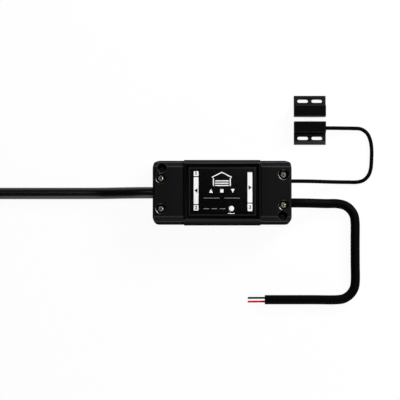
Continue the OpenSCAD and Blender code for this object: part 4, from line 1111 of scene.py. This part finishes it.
# Pieces that keep their CAD shape.
plainPaint = {
    "switch_plunger": "switchDark", "tact_switch": "switchDark", "circuit_board": "boardGreen",
    "board_screws": "tinnedSteel", "relay": "relayBlue", "radio_module": "moduleBoard",
    "shield_can": "tinnedSteel", "transformer_core": "ferriteGrey", "transformer_winding": "windingTape",
    "fuse": "fuseBrown", "mains_terminal": "terminalGreen", "sensor_terminal": "terminalGreen",
    "trigger_terminal": "terminalGreen", "terminal_screws": "tinnedSteel", "mains_wires": "wireBrown",
    "sensor_wires": "wireWhite", "trigger_wires": "wireRed", "reed_capsule": "reedGlass",
    "reed_fill": "fillBlack", "magnet": "magnetNickel", "magnet_fill": "fillBlack",
}
for node, paint in plainPaint.items():
    setPaint(nodes[node], finishes[paint])
for node in ("input_capacitor", "output_capacitor"):
    setPaint(nodes[node], sleeveFinish(node + "Sleeve", node, sleeveLook))


# Floor, world and lamps.
studio = {
    "floorSize": 3.0,
    "floorDrop": 0.0003,          # how far the floor lies under the object
    "floorColor": (0.9, 0.9, 0.9),
    "floorWhite": 0.95,           # share of plain white that lies over the floor's shadow
    "holeWhite": 0.004,           # painted shade: what is left of that white at the bottom of a deep hole
    "holeDepth": 0.03,
    "holeOpen": (0.08, 0.17),     # shares of open sky at which that white is lost, and whole
    "holeSamples": 32,
    "horizon": 1.0,               # brightness low down on the long sides
    "ends": 0.18,                 # share of that brightness at the two ends
    "endsTurn": 0.8,              # squared share of Y in a direction that is fully to the side
    "ceiling": 0.03,
    "band": (0.05, 0.45),         # heights from which the horizon fades to the ceiling, and where it ends
    "lampDistance": 0.9,
    "lamps": [                    # direction, height in degrees, size, watts
        ("key", 45, 32, 0.4, 9.0),
        ("top", 60, 73, 0.22, 1.5),
        ("glint", 15, 56, 0.08, 1.5),  # small, for the metal of the screws
        ("fill", 275, 14, 0.8, 3.0),
    ],
}


def mathNode(tree, operation, first, second):
    node = tree.nodes.new("ShaderNodeMath")
    node.operation = operation
    tree.links.new(first, node.inputs[0])
    if isinstance(second, float):
        node.inputs[1].default_value = second
    else:
        tree.links.new(second, node.inputs[1])
    return node.outputs[0]


def floorFinish(spec):
    material = bpy.data.materials.new("studioFloor")
    material.use_nodes = True
    tree = material.node_tree
    tree.nodes.clear()
    add, join = tree.nodes.new, tree.links.new
    rays = add("ShaderNodeLightPath").outputs
    seen = mathNode(tree, "MAXIMUM", rays["Is Camera Ray"], rays["Is Glossy Ray"])
    seen = mathNode(tree, "MAXIMUM", seen, rays["Is Transmission Ray"])
    # Painted shade: the floor's emitted white dims where ambient occlusion finds it shut in, in deep holes
    # and tight gaps.
    openSky = add("ShaderNodeAmbientOcclusion")
    openSky.samples = spec["holeSamples"]
    openSky.inputs["Distance"].default_value = spec["holeDepth"]
    matte, white = add("ShaderNodeBsdfDiffuse"), add("ShaderNodeEmission")
    matte.inputs["Color"].default_value = (*spec["floorColor"], 1)
    level = mapRange(tree, openSky.outputs["AO"], spec["holeWhite"], 1, *spec["holeOpen"])
    join(level, white.inputs["Strength"])
    mix, result = add("ShaderNodeMixShader"), add("ShaderNodeOutputMaterial")
    join(mathNode(tree, "MULTIPLY", seen, spec["floorWhite"]), mix.inputs[0])
    join(matte.outputs[0], mix.inputs[1])
    join(white.outputs[0], mix.inputs[2])
    join(mix.outputs[0], result.inputs["Surface"])
    return material


def makeFloor(spec):
    bm = bmesh.new()
    half, level = spec["floorSize"] / 2, -spec["floorDrop"]
    bm.faces.new([bm.verts.new((x * half, y * half, level)) for x, y in ((-1, -1), (1, -1), (1, 1), (-1, 1))])
    floor = addObject("studioFloor", meshFrom(bm, "studioFloor"))
    setPaint(floor, floorFinish(spec))


def makeWorld(spec):
    world = bpy.data.worlds.new("studioWorld")
    world.use_nodes = True
    scene.world = world
    tree = world.node_tree
    direction = tree.nodes.new("ShaderNodeTexCoord")
    split = tree.nodes.new("ShaderNodeSeparateXYZ")
    tree.links.new(direction.outputs["Generated"], split.inputs["Vector"])
    fade = mapRange(tree, split.outputs["Z"], spec["horizon"], spec["ceiling"], *spec["band"])
    sideways = mathNode(tree, "MULTIPLY", split.outputs["Y"], split.outputs["Y"])
    sides = mapRange(tree, sideways, spec["ends"], 1, 0, spec["endsTurn"])
    background = tree.nodes["Background"]
    tree.links.new(mathNode(tree, "MULTIPLY", fade, sides), background.inputs["Strength"])
    background.inputs["Color"].default_value = (1, 1, 1, 1)


def makeLamps(spec):
    for name, turn, rise, size, power in spec["lamps"]:
        lamp = bpy.data.lights.new(name + "Lamp", "AREA")
        lamp.shape = "DISK"
        lamp.size = size
        lamp.energy = power
        holder = bpy.data.objects.new(name + "Lamp", lamp)
        a, e = math.radians(turn), math.radians(rise)
        out = Vector((math.cos(a) * math.cos(e), math.sin(a) * math.cos(e), math.sin(e)))
        holder.location = out * spec["lampDistance"]
        holder.rotation_euler = out.to_track_quat("Z", "Y").to_euler()
        scene.collection.objects.link(holder)


makeFloor(studio)
makeWorld(studio)
makeLamps(studio)
print("studio made")
